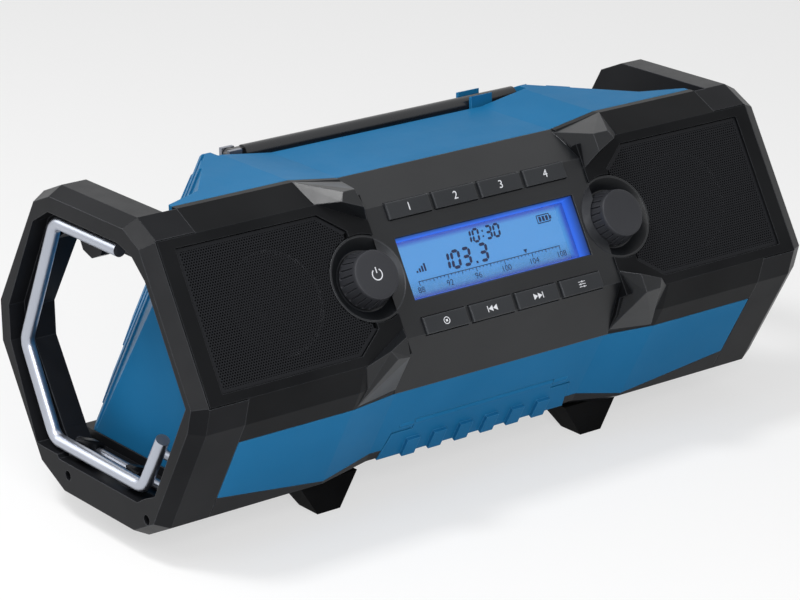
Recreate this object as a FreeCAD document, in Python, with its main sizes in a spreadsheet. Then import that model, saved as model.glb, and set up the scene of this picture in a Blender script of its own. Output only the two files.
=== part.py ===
import FreeCAD, Part
import math
import os
import re

import Sketcher

# Jobsite radio: a six-sided body lying on its flat bottom, with a grab loop at each end,
# a swing-out steel hook, a console with knobs and buttons, and a battery at the back.
# X runs along the radio, -Y is its front, +Z is up. The origin lies on the floor, under the
# middle of the radio. All sizes are millimetres.

V = FreeCAD.Vector

SIZES = [
    ("overall_length", 390, "from end face to end face"),
    ("axis_height", 91, "middle of the six-sided section above the floor"),
    ("lean", 30, "degrees that the front face leans back"),
    ("panel_forward", 70.3, "middle of the front face, in front of the section's middle"),
    ("panel_rise", 38.4, "middle of the front face, above the section's middle"),
    ("panel_half", 41, "half the height of the front face, along its slope"),
    ("top_flat", 34, "half the depth of the flat top"),
    ("top_rise", 82, "flat top above the middle"),
    ("shoulder_back", 51, "upper rear corner, behind the middle"),
    ("shoulder_rise", 75, "upper rear corner, above the middle"),
    ("spine_back", 90, "rearmost edge, behind the middle"),
    ("spine_rise", 12, "half the height of the rearmost edge"),
    ("heel_back", 56, "lower rear corner, behind the middle"),
    ("heel_drop", 69, "lower rear corner, below the middle"),
    ("base_flat", 33, "half the depth of the flat bottom"),
    ("base_drop", 80, "flat bottom below the middle"),
    ("toe_front", 53, "lower front corner, in front of the middle"),
    ("toe_drop", 70, "lower front corner, below the middle"),
    ("chin_front", 86.5, "corner under the nose, in front of the middle"),
    ("chin_drop", 12, "corner under the nose, below the middle"),
    ("nose_front", 90.8, "foremost edge, in front of the middle"),
    ("nose_rise", 2.9, "foremost edge above the middle"),
    ("brow_front", 49.8, "upper edge of the front face, in front of the middle"),
    ("brow_rise", 73.9, "upper edge of the front face, above the middle"),
    ("wall", 3, "thickness of the moulded walls"),
    ("seam", 0.4, "gap between mouldings that meet"),
    ("loop_legs", 22, "length of a loop's upper and rear legs along the radio"),
    ("loop_root", 30, "length of a loop's front and lower legs along the radio"),
    ("bevel_long", 8, "width of the bevel round an end face"),
    ("bevel_in", 4.2, "how far that bevel draws the outline in"),
    ("rebate_deep", 9.2, "depth of the step that the hook lies in"),
    ("plate_half", 187, "half the length of the front plate"),
    ("plate_thick", 6, "thickness of the front plate"),
    ("frame_back", 30, "rear edge of the front frame's top strip, in front of the middle"),
    ("band_drop", 22.5, "lower edge of the front frame, below the middle"),
    ("tray_drop", 57, "upper edge of the base tray, below the middle"),
    ("end_turn", 36.9, "degrees that the housing's end faces turn towards the rear"),
    ("end_tip", 22.8, "degrees that they lean towards the top"),
    ("end_at", 97, "an end face meets the rear edge of the top this far from the middle"),
    ("flange_in", 131, "half the length of the housing's top flange at its rear edge"),
    ("flange_back", 12, "rear edge of that flange, in front of the middle"),
    ("waist_in", 4.5, "how far the middle of the radio is narrower than its ends"),
    ("waist_floor", 67.8, "half the length of that narrower middle"),
    ("waist_mouth", 97.6, "half the length over the slopes beside it"),
    ("window_half", 36, "half the height of a grille window"),
    ("window_out", 178.4, "outer edge of a grille window from the middle"),
    ("window_in", 97, "inner corner of a grille window from the middle"),
    ("window_deep", 4, "depth of a grille window"),
    ("grille_thick", 1, "sheet thickness of a grille"),
    ("grille_down", 1.2, "face of a grille below the front plate"),
    ("speaker_at", 131, "middle of a speaker from the middle of the radio"),
    ("speaker_hole", 26.5, "radius of the hole in front of a speaker"),
    ("speaker_rim", 30, "radius of a speaker's rim"),
    ("speaker_deep", 24, "depth of a speaker's basket"),
    ("magnet_radius", 20, "radius of a speaker's magnet"),
    ("magnet_thick", 12, "thickness of a speaker's magnet"),
    ("console_half", 69, "half the length of the console plate"),
    ("console_down", 1, "face of the console below the front plate"),
    ("console_thick", 4, "thickness of the console plate"),
    ("knob_at", 78.6, "middle of a knob from the middle of the radio"),
    ("knob_well", 22, "radius of the well round a knob"),
    ("knob_radius", 12.5, "radius of a knob's grip"),
    ("knob_face", 6.8, "face of a knob above the front plate"),
    ("well_deep", 5, "depth of the well round a knob"),
    ("shaft_radius", 3, "radius of a knob's shaft"),
    ("shaft_fit", 0.05, "radial gap between a knob's bore and its shaft"),
    ("key_pitch", 29, "distance from button to button"),
    ("key_long", 26.5, "length of a button's cap"),
    ("key_tall", 8.6, "height of a button's cap"),
    ("key_row", 29.6, "middle of a row of buttons from the middle of the front face"),
    ("key_down", 1.9, "face of a button below the front plate"),
    ("key_travel", 1, "travel of a button"),
    ("screen_long", 54.5, "half the length of the display's glass"),
    ("screen_tall", 14, "half the height of the display's glass"),
    ("screen_down", 9.6, "display's glass below the front plate"),
    ("board_down", 19, "face of the control board below the front plate"),
    ("board_thick", 1.6, "thickness of the circuit boards"),
    ("board_apart", 16, "gap between the two circuit boards"),
    ("hook_radius", 3.5, "radius of the steel hook"),
    ("hook_inset", 5, "middle of the hook from the end face"),
    ("pin_radius", 2.5, "radius of the steel pins beside the hook"),
    ("pin_inset", 15, "middle of those pins from the end face"),
    ("aerial_radius", 4.2, "radius of the folded aerial"),
    ("aerial_long", 183, "length of the aerial from its pivot to its tip"),
    ("aerial_back", 36.5, "middle of the aerial behind the middle of the radio"),
    ("aerial_rise", 77.4, "middle of the aerial above the middle of the section"),
    ("aerial_pivot", 86, "pivot of the aerial left of the middle of the radio"),
    ("flap_half", 48, "half the length of the socket flap"),
    ("flap_tall", 30, "height of the socket flap"),
    ("flap_thick", 3.5, "thickness of the socket flap"),
    ("pack_long", 112, "length of the battery"),
    ("pack_tall", 72, "height of the battery"),
    ("pack_deep", 42, "depth of the battery"),
    ("pack_slide", 22, "way that the battery slides before it lifts out"),
    ("foot_at", 86.5, "middle of a foot from the middle of the radio"),
    ("foot_back", 30, "middle of a foot from the radio's middle plane"),
]

doc = FreeCAD.newDocument("jobsite_radio")
sheet = doc.addObject("Spreadsheet::Sheet", "Sizes")
for number, (word, value, meaning) in enumerate(SIZES, 1):
    sheet.set(f"A{number}", meaning)
    sheet.set(f"B{number}", str(value))
    sheet.setAlias(f"B{number}", word)
doc.recompute()

WORDS = [word for word, value, meaning in SIZES]
NODES = []


def size(word):
    """Reads one size from the sheet."""
    return float(sheet.get(word))


def link(formula):
    """Turns a formula in the sheet's words into an expression on its cells."""
    return re.sub(r"[a-z_]+", lambda m: "Sizes." + m.group(0) if m.group(0) in WORDS else m.group(0),
                  str(formula))


def bind(thing, prop, formula):
    """Ties a property to a formula in the sheet's words."""
    thing.setExpression(prop, link(formula))


def node(thing, label):
    """Names a finished sub-part and puts it on the list of those written out."""
    thing.Label = label
    NODES.append(thing)
    return thing


# Frames of reference

def section_at(x):
    """A cross-section's frame: its x is the radio's Y, its y the radio's Z, its z the radio's X."""
    return FreeCAD.Placement(V(x, 0, size("axis_height")), FreeCAD.Rotation(V(1, 1, 1), 120))


def panel_at(x=0, up=0, out=0):
    """The front face's frame: x along the radio, y up the slope, z out of the face."""
    turn = FreeCAD.Rotation(V(1, 0, 0), 90 - size("lean"))
    middle = V(0, -size("panel_forward"), size("axis_height") + size("panel_rise"))
    return FreeCAD.Placement(middle + turn.multVec(V(x, up, out)), turn)


def panel_step(out):
    """The section's frame moved along the front face's normal."""
    lean = math.radians(size("lean"))
    place = section_at(0)
    place.Base += V(0, -out * math.cos(lean), out * math.sin(lean))
    return place


def plan_at(z):
    """A level frame at a height above the section's middle."""
    return FreeCAD.Placement(V(0, 0, size("axis_height") + z), FreeCAD.Rotation())


def back_at(x=0, up=0, out=0):
    """The lower rear face's frame: x towards the left end, y up the slope, z out of the face."""
    lean = math.radians(size("lean"))
    up_slope = V(0, math.sin(lean), math.cos(lean))
    outward = V(0, math.cos(lean), -math.sin(lean))
    turn = FreeCAD.Rotation(V(-1, 0, 0), up_slope, outward, "ZYX")
    middle_back = (size("spine_back") + size("heel_back")) / 2
    middle_drop = (size("spine_rise") + size("heel_drop")) / 2
    middle = V(0, middle_back, size("axis_height") - middle_drop)
    return FreeCAD.Placement(middle + turn.multVec(V(x, up, out)), turn)


def belly_at(x=0, down=0, out=0):
    """The lower front face's frame: x along the radio, y up the slope, z out of the face."""
    turn = FreeCAD.Rotation(V(1, 0, 0), 90 + size("lean"))
    middle = V(0, -size("chin_front"), size("axis_height") - size("chin_drop"))
    return FreeCAD.Placement(middle + turn.multVec(V(x, -down, out)), turn)


# Ways of making a shape

def draw_corners(sketch, corners):
    """Draws a closed outline whose corners are formulas in the sheet's words."""
    first = sketch.GeometryCount
    count = len(corners)
    turn = 2 * math.pi / count
    ring = [V(math.cos(turn * i), math.sin(turn * i), 0) for i in range(count)]
    for i in range(count):
        sketch.addGeometry(Part.LineSegment(ring[i], ring[(i + 1) % count]))
    for i, (across, up) in enumerate(corners):
        line = first + i
        following = first + (i + 1) % count
        sketch.addConstraint(Sketcher.Constraint("Coincident", line, 2, following, 1))
        for kind, formula in (("DistanceX", across), ("DistanceY", up)):
            rule = sketch.addConstraint(Sketcher.Constraint(kind, -1, 1, line, 1, 1.0))
            bind(sketch, f"Constraints[{rule}]", formula)


def outline(name, place, corners):
    """A free outline, for an extrusion or a loft."""
    sketch = doc.addObject("Sketcher::SketchObject", name)
    sketch.Placement = place
    draw_corners(sketch, corners)
    return sketch


def rectangle(wide, tall):
    """Corners of a rectangle round the frame's origin, from its half sizes."""
    return [(f"-({wide})", f"-({tall})"), (wide, f"-({tall})"), (wide, tall), (f"-({wide})", tall)]


def draw_in(name, base, formula):
    """The same outline, moved inwards all round."""
    inner = doc.addObject("Part::Offset2D", name)
    inner.Source = base
    inner.Join = 2
    inner.Value = -1
    bind(inner, "Value", f"-({formula})")
    return inner


def extrude(name, base, ahead, behind=0):
    """Extrudes an outline along its normal, ahead and behind it."""
    solid = doc.addObject("Part::Extrusion", name)
    solid.Base = base
    drawn = base.Source if base.TypeId == "Part::Offset2D" else base
    solid.DirMode = "Custom"
    solid.Dir = drawn.Placement.Rotation.multVec(V(0, 0, 1))
    solid.Solid = True
    bind(solid, "LengthFwd", ahead)
    bind(solid, "LengthRev", behind)
    return solid


def loft(name, *sections):
    """A straight-sided loft through outlines."""
    solid = doc.addObject("Part::Loft", name)
    solid.Sections = list(sections)
    solid.Solid = True
    solid.Ruled = True
    return solid


def cylinder(name, place, radius, length):
    """A cylinder that stands on its frame's origin."""
    solid = doc.addObject("Part::Cylinder", name)
    solid.Placement = place
    bind(solid, "Radius", radius)
    bind(solid, "Height", length)
    return solid


def cone(name, place, radius_low, radius_high, length):
    """A cone that stands on its frame's origin."""
    solid = doc.addObject("Part::Cone", name)
    solid.Placement = place
    bind(solid, "Radius1", radius_low)
    bind(solid, "Radius2", radius_high)
    bind(solid, "Height", length)
    return solid


def block(name, place, long, tall, thick):
    """A block centred on its frame's origin in x and y, and standing on it in z."""
    base = outline(name + "_outline", place, rectangle(f"({long})/2", f"({tall})/2"))
    return extrude(name, base, thick)


def cut(name, base, *tools):
    """Cuts tools out of a base, one after the other."""
    for number, tool in enumerate(tools, 1):
        result = doc.addObject("Part::Cut", f"{name}_cut{number}")
        result.Base = base
        result.Tool = tool
        base = result
    return base


def fuse(name, *shapes):
    """Joins shapes into one."""
    result = doc.addObject("Part::MultiFuse", name)
    result.Shapes = list(shapes)
    result.Refine = True
    return result


def common(name, *shapes):
    """What shapes have in common."""
    result = doc.addObject("Part::MultiCommon", name)
    result.Shapes = list(shapes)
    return result


def group(name, *shapes):
    """Separate solids that share one node."""
    result = doc.addObject("Part::Compound", name)
    result.Links = list(shapes)
    return result


def mirror(name, source):
    """The same shape at the other end of the radio."""
    result = doc.addObject("Part::Mirroring", name)
    result.Source = source
    result.Base = V(0, 0, 0)
    result.Normal = V(1, 0, 0)
    return result


def turned(place, axis, degrees):
    """A frame turned about one of its own axes."""
    return place.multiply(FreeCAD.Placement(V(0, 0, 0), FreeCAD.Rotation(axis, degrees)))


# The six-sided section that every moulding follows

SECTION = [
    ("-top_flat", "top_rise"),
    ("top_flat", "top_rise"),
    ("shoulder_back", "shoulder_rise"),
    ("spine_back", "spine_rise"),
    ("spine_back", "-spine_rise"),
    ("heel_back", "-heel_drop"),
    ("base_flat", "-base_drop"),
    ("-base_flat", "-base_drop"),
    ("-toe_front", "-toe_drop"),
    ("-chin_front", "-chin_drop"),
    ("-nose_front", "nose_rise"),
    ("-brow_front", "brow_rise"),
]

HALF = size("overall_length") / 2
ROOT = HALF - size("loop_root")


def ring(name, x, inset=None):
    """The section's outline at a place along the radio, drawn in by an inset if there is one."""
    full = outline(name, section_at(x), SECTION)
    return draw_in(name + "_inset", full, inset) if inset else full


def waisted(name, half_length, inset=""):
    """A bar of the section, narrower in the middle of the radio, drawn in all round by an inset."""
    mouth = size("waist_mouth")
    floor = size("waist_floor")
    narrow = f"waist_in + {inset}" if inset else "waist_in"
    middle = extrude(name + "_middle", ring(name + "_ring0", 0, narrow), "waist_floor", "waist_floor")
    slope = loft(name + "_slope", ring(name + "_ring1", -floor, narrow), ring(name + "_ring2", -mouth, inset))
    end = extrude(name + "_end", ring(name + "_ring3", -mouth, inset), 0, f"{half_length} - waist_mouth")
    return fuse(name, middle, slope, end, mirror(name + "_slope2", slope), mirror(name + "_end2", end))


def straight(name, half_length):
    """A bar of the full section, reaching the same way left and right."""
    return extrude(name, outline(name + "_outline", section_at(0), SECTION), half_length, half_length)


def section_part(name, corners, half_length):
    """A bar over part of the section, to keep or cut what lies in it."""
    return extrude(name, outline(name + "_outline", section_at(0), corners), half_length, half_length)


# Grab loops

GRIP = [
    ("-27", "60"),
    ("30", "60"),
    ("43", "52"),
    ("70", "10"),
    ("70", "-8"),
    ("45", "-49"),
    ("36", "-60"),
    ("-36", "-60"),
    ("-46", "-54"),
    ("-79", "4.5"),
    ("-50", "53"),
    ("-39", "60"),
]

REBATE = [
    ("-28", "69.5"),
    ("35", "69.5"),
    ("50", "61"),
    ("78", "10"),
    ("78", "-9"),
    ("57", "-57.7"),
    ("51", "-58"),
    ("-38", "-58"),
    ("-52", "-52"),
    ("-82", "2"),
    ("-51", "56.5"),
    ("-40", "66"),
]


def plate_space(name, gap):
    """The space of the front plate, with a gap round it."""
    place = panel_at(out=-size("plate_thick") - gap)
    corners = rectangle(f"plate_half + {gap}", f"panel_half + {gap}")
    return extrude(name, outline(name + "_outline", place, corners), f"plate_thick + {gap} + 20")


PIN_LOW = -56
PIN_HIGH = -37.7


def pin(name, rise, rear, front, gap=0):
    """A straight pin along Y beside the hook, between two places, with a gap round it."""
    base = V(-HALF + size("pin_inset"), rear, size("axis_height") + rise)
    place = FreeCAD.Placement(base, FreeCAD.Rotation(V(1, 0, 0), 90))
    return cylinder(name, place, f"pin_radius + {gap}", rear - front)


def make_left_guard():
    """The left grab loop, with its grip opening and the step that the hook lies in."""
    bulk = extrude("loop_bulk", outline("loop_root_outline", section_at(-ROOT), SECTION),
                   0, "loop_root - bevel_long")
    bevel_start = outline("loop_bevel_outline", section_at(-HALF + size("bevel_long")), SECTION)
    end_outline = outline("loop_end_outline", section_at(-HALF), SECTION)
    bevel = loft("loop_bevel", bevel_start, draw_in("loop_end_inset", end_outline, "bevel_in"))
    grip = extrude("grip_opening", outline("grip_outline", section_at(-ROOT), GRIP), 1, "loop_root + 1")
    rebate = extrude("hook_rebate", outline("rebate_outline", section_at(-HALF), REBATE),
                     "rebate_deep", 1)
    behind = outline("behind_legs_outline", section_at(-ROOT),
                     [("-top_flat", "-tray_drop - 5"), ("100", "-tray_drop - 5"),
                      ("100", "100"), ("-top_flat", "100")])
    behind_legs = extrude("behind_legs", behind, 1, "loop_root - loop_legs")
    trough = block("pin_trough", plan_at(-60).multiply(FreeCAD.Placement(V(-HALF + 15, 0, -2), FreeCAD.Rotation())),
                   8, 96, 6)
    pin_holes = [pin("pin_hole", PIN_LOW, 46, -52, 0.05), pin("stop_hole", PIN_HIGH, -50, -64, 0.05)]
    screw_wells = [cylinder(f"screw_well_{i}", section_at(-HALF).multiply(
        FreeCAD.Placement(V(across, -66.5, -1), FreeCAD.Rotation())), 2.6, 8)
        for i, across in enumerate((28, -44))]
    return cut("left_guard", fuse("loop_block", bulk, bevel), grip, rebate, behind_legs, trough,
               plate_space("plate_space", size("seam")), *screw_wells, *pin_holes)


left_guard = node(make_left_guard(), "left_guard")
right_guard = node(mirror("right_guard", left_guard), "right_guard")

# Shared tools: the tapered ends, the aerial's ledge and the hollow inside

def end_cutter(name, inwards):
    """Everything beyond the left tapered end face, moved inwards by a distance."""
    turn = math.radians(size("end_turn"))
    tip = math.radians(size("end_tip"))
    normal = V(-math.cos(tip) * math.cos(turn), math.cos(tip) * math.sin(turn), math.sin(tip))
    on_face = V(-size("end_at"), 46, 77) + plan_at(0).Base
    place = FreeCAD.Placement(on_face - normal * inwards, FreeCAD.Rotation(V(0, 0, 1), normal))
    return block(name, place, 500, 500, 200)


def aerial_ledge(name, grow):
    """The ledge along the rear of the top that the folded aerial lies on."""
    corners = [(f"27 - {grow}", f"72.4 - {grow}"), ("130", f"72.4 - {grow}"), ("130", "130"),
               (f"27 - {grow}", "130")]
    return section_part(name, corners, f"aerial_pivot + 14 + {grow}")


def hollow():
    """The space inside the mouldings."""
    bar = waisted("hollow_bar", "overall_length/2 - loop_root - seam - wall", "wall")
    left = end_cutter("hollow_end", size("wall"))
    return cut("hollow", bar, aerial_ledge("hollow_ledge", 3), left, mirror("hollow_end_right", left))


inside = hollow()

# Front frame

FRAME_REGION = [
    ("-frame_back", "130"),
    ("-frame_back", "60"),
    ("-nose_front + 20", "-band_drop"),
    ("-130", "-band_drop"),
    ("-130", "130"),
]

def shoulder(name, side, end):
    """One faceted corner guard of the console, at the left or right, upper or lower end."""
    corner = {
        "outer_top": (98, 56, -9.5) if end > 0 else (95, 57, -21),
        "outer_low": (96.5, 41.5, -1),
        "ridge_out": (86.7, 38.1, 9.3),
        "ridge_top": (84, 42.7, 9.1),
        "ridge_mid": (76, 43, 7.5),
        "ridge_in": (75, 33.2, 8.9),
        "inner_low": (69, 27.5, -1),
        "inner_top": (67, 53, -16) if end > 0 else (69, 54, -24),
    }
    root = {name: (x, up, -22 if end > 0 else -26) for name, (x, up, out) in corner.items()
            if name in ("outer_top", "outer_low", "inner_low", "inner_top")}
    faces = [
        ("outer_top", "outer_low", "ridge_out"),
        ("outer_top", "ridge_out", "ridge_top"),
        ("outer_top", "ridge_top", "ridge_mid"),
        ("outer_top", "ridge_mid", "inner_top"),
        ("ridge_top", "ridge_out", "ridge_mid"),
        ("ridge_out", "ridge_in", "ridge_mid"),
        ("outer_low", "inner_low", "ridge_out"),
        ("ridge_out", "inner_low", "ridge_in"),
        ("inner_low", "inner_top", "ridge_mid"),
        ("inner_low", "ridge_mid", "ridge_in"),
    ]
    rim = ["outer_top", "outer_low", "inner_low", "inner_top"]
    frame = panel_at()

    def at(table, key):
        x, up, out = table[key]
        return frame.multVec(V(side * x, end * up, out))

    shells = [Part.Face(Part.makePolygon([at(corner, key) for key in face] + [at(corner, face[0])]))
              for face in faces]
    for i, key in enumerate(rim):
        other = rim[(i + 1) % len(rim)]
        for three in ((at(corner, key), at(corner, other), at(root, other)),
                      (at(corner, key), at(root, other), at(root, key))):
            shells.append(Part.Face(Part.makePolygon(list(three) + [three[0]])))
    floor = [at(root, key) for key in rim]
    shells.append(Part.Face(Part.makePolygon(floor[:3] + [floor[0]])))
    shells.append(Part.Face(Part.makePolygon([floor[0], floor[2], floor[3], floor[0]])))
    solid = Part.makeSolid(Part.makeShell(shells))
    if solid.Volume < 0:
        solid.reverse()
    feature = doc.addObject("Part::Feature", name)
    feature.Shape = solid
    return feature


shoulders = [shoulder(f"shoulder_{i}", side, end)
             for i, (side, end) in enumerate(((-1, 1), (1, 1), (-1, -1), (1, -1)))]

CONSOLE_FACE = [
    ("-frame_back", "top_rise - waist_in"),
    ("-52.7", "66.9"),
    ("-86.2", "8.9"),
    ("-76", "-band_drop"),
    ("-60", "-band_drop"),
    ("-60", "0"),
    ("-frame_back", "45"),
]

console_bar = section_part("console_bar", CONSOLE_FACE, "console_half")
wells = [cylinder(f"well_{side}", panel_at(x=side * size("knob_at"), out=-9), "knob_well", "9 - console_down")
         for side in (-1, 1)]
console_envelope = fuse("console_envelope", console_bar, *wells, *shoulders)


def grille_corners(side, gap):
    """Outline of a grille window, drawn in by a gap."""
    return [(f"{side}*(window_out - {gap})", f"window_half - {gap}"),
            (f"{side}*(window_in + {gap})", f"window_half - {gap}"),
            (f"{side}*(window_in - 14 + {gap})", f"25 - {gap}"),
            (f"{side}*(window_in - 14 + {gap})", f"-25 + {gap}"),
            (f"{side}*(window_in + {gap})", f"-window_half + {gap}"),
            (f"{side}*(window_out - {gap})", f"-window_half + {gap}")]


def make_left_fascia():
    """The left black front: its plate with a grille window, its top strip and its chin."""
    shell = cut("frame_shell", waisted("frame_bar", "overall_length/2 - loop_root"), inside)
    shell = common("frame_front", shell, section_part("frame_region", FRAME_REGION, 400))
    plate_bar = straight("plate_bar", "plate_half")
    plate = common("front_plate", plate_bar, plate_space("plate_room", 0))
    window = extrude("window", outline("window_outline", panel_at(out=-size("window_deep")),
                                       grille_corners(-1, 0)), 30)
    hole = cylinder("speaker_hole", panel_at(x=-size("speaker_at"), out=-20), "speaker_hole", 30)
    well_room = cylinder("well_room", panel_at(x=-size("knob_at"), out=-9), "knob_well + 0.3", 20)
    console_room = block("console_room", plan_at(-150), "2*console_half", 400, 300)
    left_side = block("left_side", plan_at(-150).multiply(FreeCAD.Placement(V(-200, 0, 0), FreeCAD.Rotation())),
                      400, 400, 300)
    open_frame = cut("fascia_open", fuse("frame_block", shell, plate), console_envelope, console_room, window,
                     hole, well_room)
    return common("left_fascia", open_frame, left_side)


left_fascia = node(make_left_fascia(), "left_fascia")
right_fascia = node(mirror("right_fascia", left_fascia), "right_fascia")


# Console

def make_console():
    """The console's plate with its corner guards, wells, windows and slots."""
    behind = extrude("console_behind", outline("console_behind_outline", panel_step(-size("console_thick")),
                                               CONSOLE_FACE), "console_half - 4", "console_half - 4")
    screen = loft("screen_window",
                  outline("screen_mouth", panel_at(out=1), rectangle("screen_long + 2.6", "screen_tall + 2.6")),
                  outline("screen_foot", panel_at(out=-6), rectangle("screen_long + 1.4", "screen_tall + 1.4")))
    core = extrude("console_core", outline("console_core_outline", panel_step(-size("console_thick") - 5),
                                           CONSOLE_FACE), 110, 110)
    tools = [behind, screen, core]
    for side in (-1, 1):
        x = side * size("knob_at")
        tools.append(cone(f"well_cone_{side}", panel_at(x=x, out=-size("console_down") - size("well_deep")),
                          "knob_radius + 3", "knob_well - 1", "well_deep + 0.01"))
        tools.append(cylinder(f"knob_room_{side}", panel_at(x=x, out=-6), "knob_radius + 2.4", 40))
        tools.append(cylinder(f"shaft_hole_{side}", panel_at(x=x, out=-40), "shaft_radius + 0.6", 60))
        tools.append(cylinder(f"encoder_room_{side}", panel_at(x=x, out=-30), 10.5, "30 - 8.2"))
    for row in (-1, 1):
        for i in range(4):
            place = panel_at(x=(i - 1.5) * size("key_pitch"), up=row * size("key_row"), out=-30)
            tools.append(block(f"key_slot_{row}_{i}", place, "key_long + 2*seam", "key_tall + 2*seam", 40))
            room = panel_at(x=(i - 1.5) * size("key_pitch"), up=row * size("key_row"), out=-30)
            tools.append(block(f"key_room_{row}_{i}", room, "key_long + 2.2", "key_tall + 2.4", "30 - 5"))
    posts = [cylinder(f"console_post_{i}", panel_at(x, up, -size("board_down")), 2.5, "board_down - 3.5")
             for i, (x, up) in enumerate(((-63.5, -20), (63.5, -20), (-63.5, 20), (63.5, 20)))]
    return fuse("console", cut("console_shell", console_envelope, *tools), *posts)


console = node(make_console(), "console_bezel")

# Grilles and speakers

def make_grille(side, name):
    """A perforated sheet with its edge folded back into the window."""
    face = extrude(name + "_face", outline(name + "_outline",
                                           panel_at(out=-size("grille_down") - size("grille_thick")),
                                           grille_corners(side, 0.3)), "grille_thick")
    skirt = outline(name + "_skirt_outline", panel_at(out=-size("window_deep")), grille_corners(side, 0.3))
    skirt_in = outline(name + "_skirt_inner", panel_at(out=-size("window_deep")), grille_corners(side, 1.3))
    height = "window_deep - grille_down - grille_thick"
    fold = cut(name + "_fold", extrude(name + "_skirt", skirt, height), extrude(name + "_hollow", skirt_in, height))
    well = cylinder(name + "_well", panel_at(x=side * size("knob_at"), out=-30), "knob_well + 0.3", 60)
    return cut(name, fuse(name + "_sheet", face, fold), well, shoulders[0 if side < 0 else 1],
               shoulders[2 if side < 0 else 3])


left_grille = node(make_grille(-1, "left_grille"), "left_grille")
right_grille = node(make_grille(1, "right_grille"), "right_grille")


def make_basket(side, name):
    """A speaker's pressed basket: a rim, a cone-shaped wall and a back plate."""
    x = side * size("speaker_at")
    top = -size("plate_thick")
    rim = cylinder(name + "_rim", panel_at(x=x, out=top - 2), "speaker_rim", 2)
    wall_out = cone(name + "_wall", panel_at(x=x, out=top - size("speaker_deep")), "magnet_radius - 3",
                    "speaker_rim - 3", "speaker_deep - 2")
    room = cone(name + "_room", panel_at(x=x, out=top - size("speaker_deep") + 2), "magnet_radius - 4.5",
                "speaker_rim - 4", "speaker_deep - 1.99")
    return cut(name, fuse(name + "_body", rim, wall_out), room)


def make_cone(side, name):
    """A paper cone with its rolled surround and dust cap."""
    x = side * size("speaker_at")
    top = -size("plate_thick")
    body = doc.addObject("Part::Revolution", name)
    profile = outline(name + "_profile", turned(panel_at(x=x, out=top), V(1, 0, 0), 90), [
        ("speaker_rim - 5.2", "-0.4"),
        ("speaker_rim - 5.2", "-1.4"),
        ("speaker_rim - 8", "-2.2"),
        ("magnet_radius - 12", "-13"),
        ("2", "-11"),
        ("2", "-9.8"),
        ("magnet_radius - 12", "-11.8"),
        ("speaker_rim - 8", "-0.8"),
    ])
    body.Source = profile
    body.Axis = panel_at().Rotation.multVec(V(0, 0, 1))
    body.Base = panel_at(x=x, out=top).Base
    body.Angle = 360
    body.Solid = True
    return body


def make_magnet(side, name):
    """The magnet behind a basket, with its back plate."""
    x = side * size("speaker_at")
    back = -size("plate_thick") - size("speaker_deep")
    ring_part = cylinder(name + "_ring", panel_at(x=x, out=back - size("magnet_thick")), "magnet_radius",
                         "magnet_thick")
    plate = cylinder(name + "_plate", panel_at(x=x, out=back - size("magnet_thick") - 2), "magnet_radius - 3", 2)
    return fuse(name, ring_part, plate)


for side, end in ((-1, "left"), (1, "right")):
    node(make_basket(side, end + "_basket"), end + "_speaker_basket")
    node(make_cone(side, end + "_cone"), end + "_speaker_cone")
    node(make_magnet(side, end + "_magnet"), end + "_speaker_magnet")

# Display, boards, knobs and buttons

display = node(block("display", panel_at(out=-size("board_down")), "2*screen_long + 6", "2*screen_tall + 5",
                     "board_down - screen_down - 1.2"), "display_module")
window = node(block("display_glass", panel_at(out=-size("screen_down") - 1.2), "2*screen_long + 4",
                    "2*screen_tall + 3.6", 1.2), "display_window")

board_place = panel_at(out=-size("board_down") - size("board_thick"))
control_board = node(block("control_board", board_place, "2*knob_at + 26", "2*key_row + 10", "board_thick"),
                     "control_board")
main_place = panel_at(out=-size("board_down") - 2 * size("board_thick") - size("board_apart"))
main_board = node(block("main_board", main_place, 150, 56, "board_thick"), "main_board")
spacers = [cylinder(f"spacer_{i}", panel_at(x=x, up=up, out=-size("board_down") - size("board_thick")
                                            - size("board_apart")), 3, "board_apart")
           for i, (x, up) in enumerate(((-68, -22), (68, -22), (-68, 22), (68, 22)))]
node(group("spacers", *spacers), "board_spacers")

for side, name in ((-1, "volume"), (1, "tune")):
    x = side * size("knob_at")
    body = block(name + "_encoder_box", panel_at(x=x, out=-size("board_down")), 13, 13, "board_down - 8.4")
    shaft = cylinder(name + "_shaft", panel_at(x=x, out=-8.4), "shaft_radius", "8.4 + knob_face - 3")
    node(fuse(name + "_encoder", body, shaft), name + "_encoder")


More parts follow.
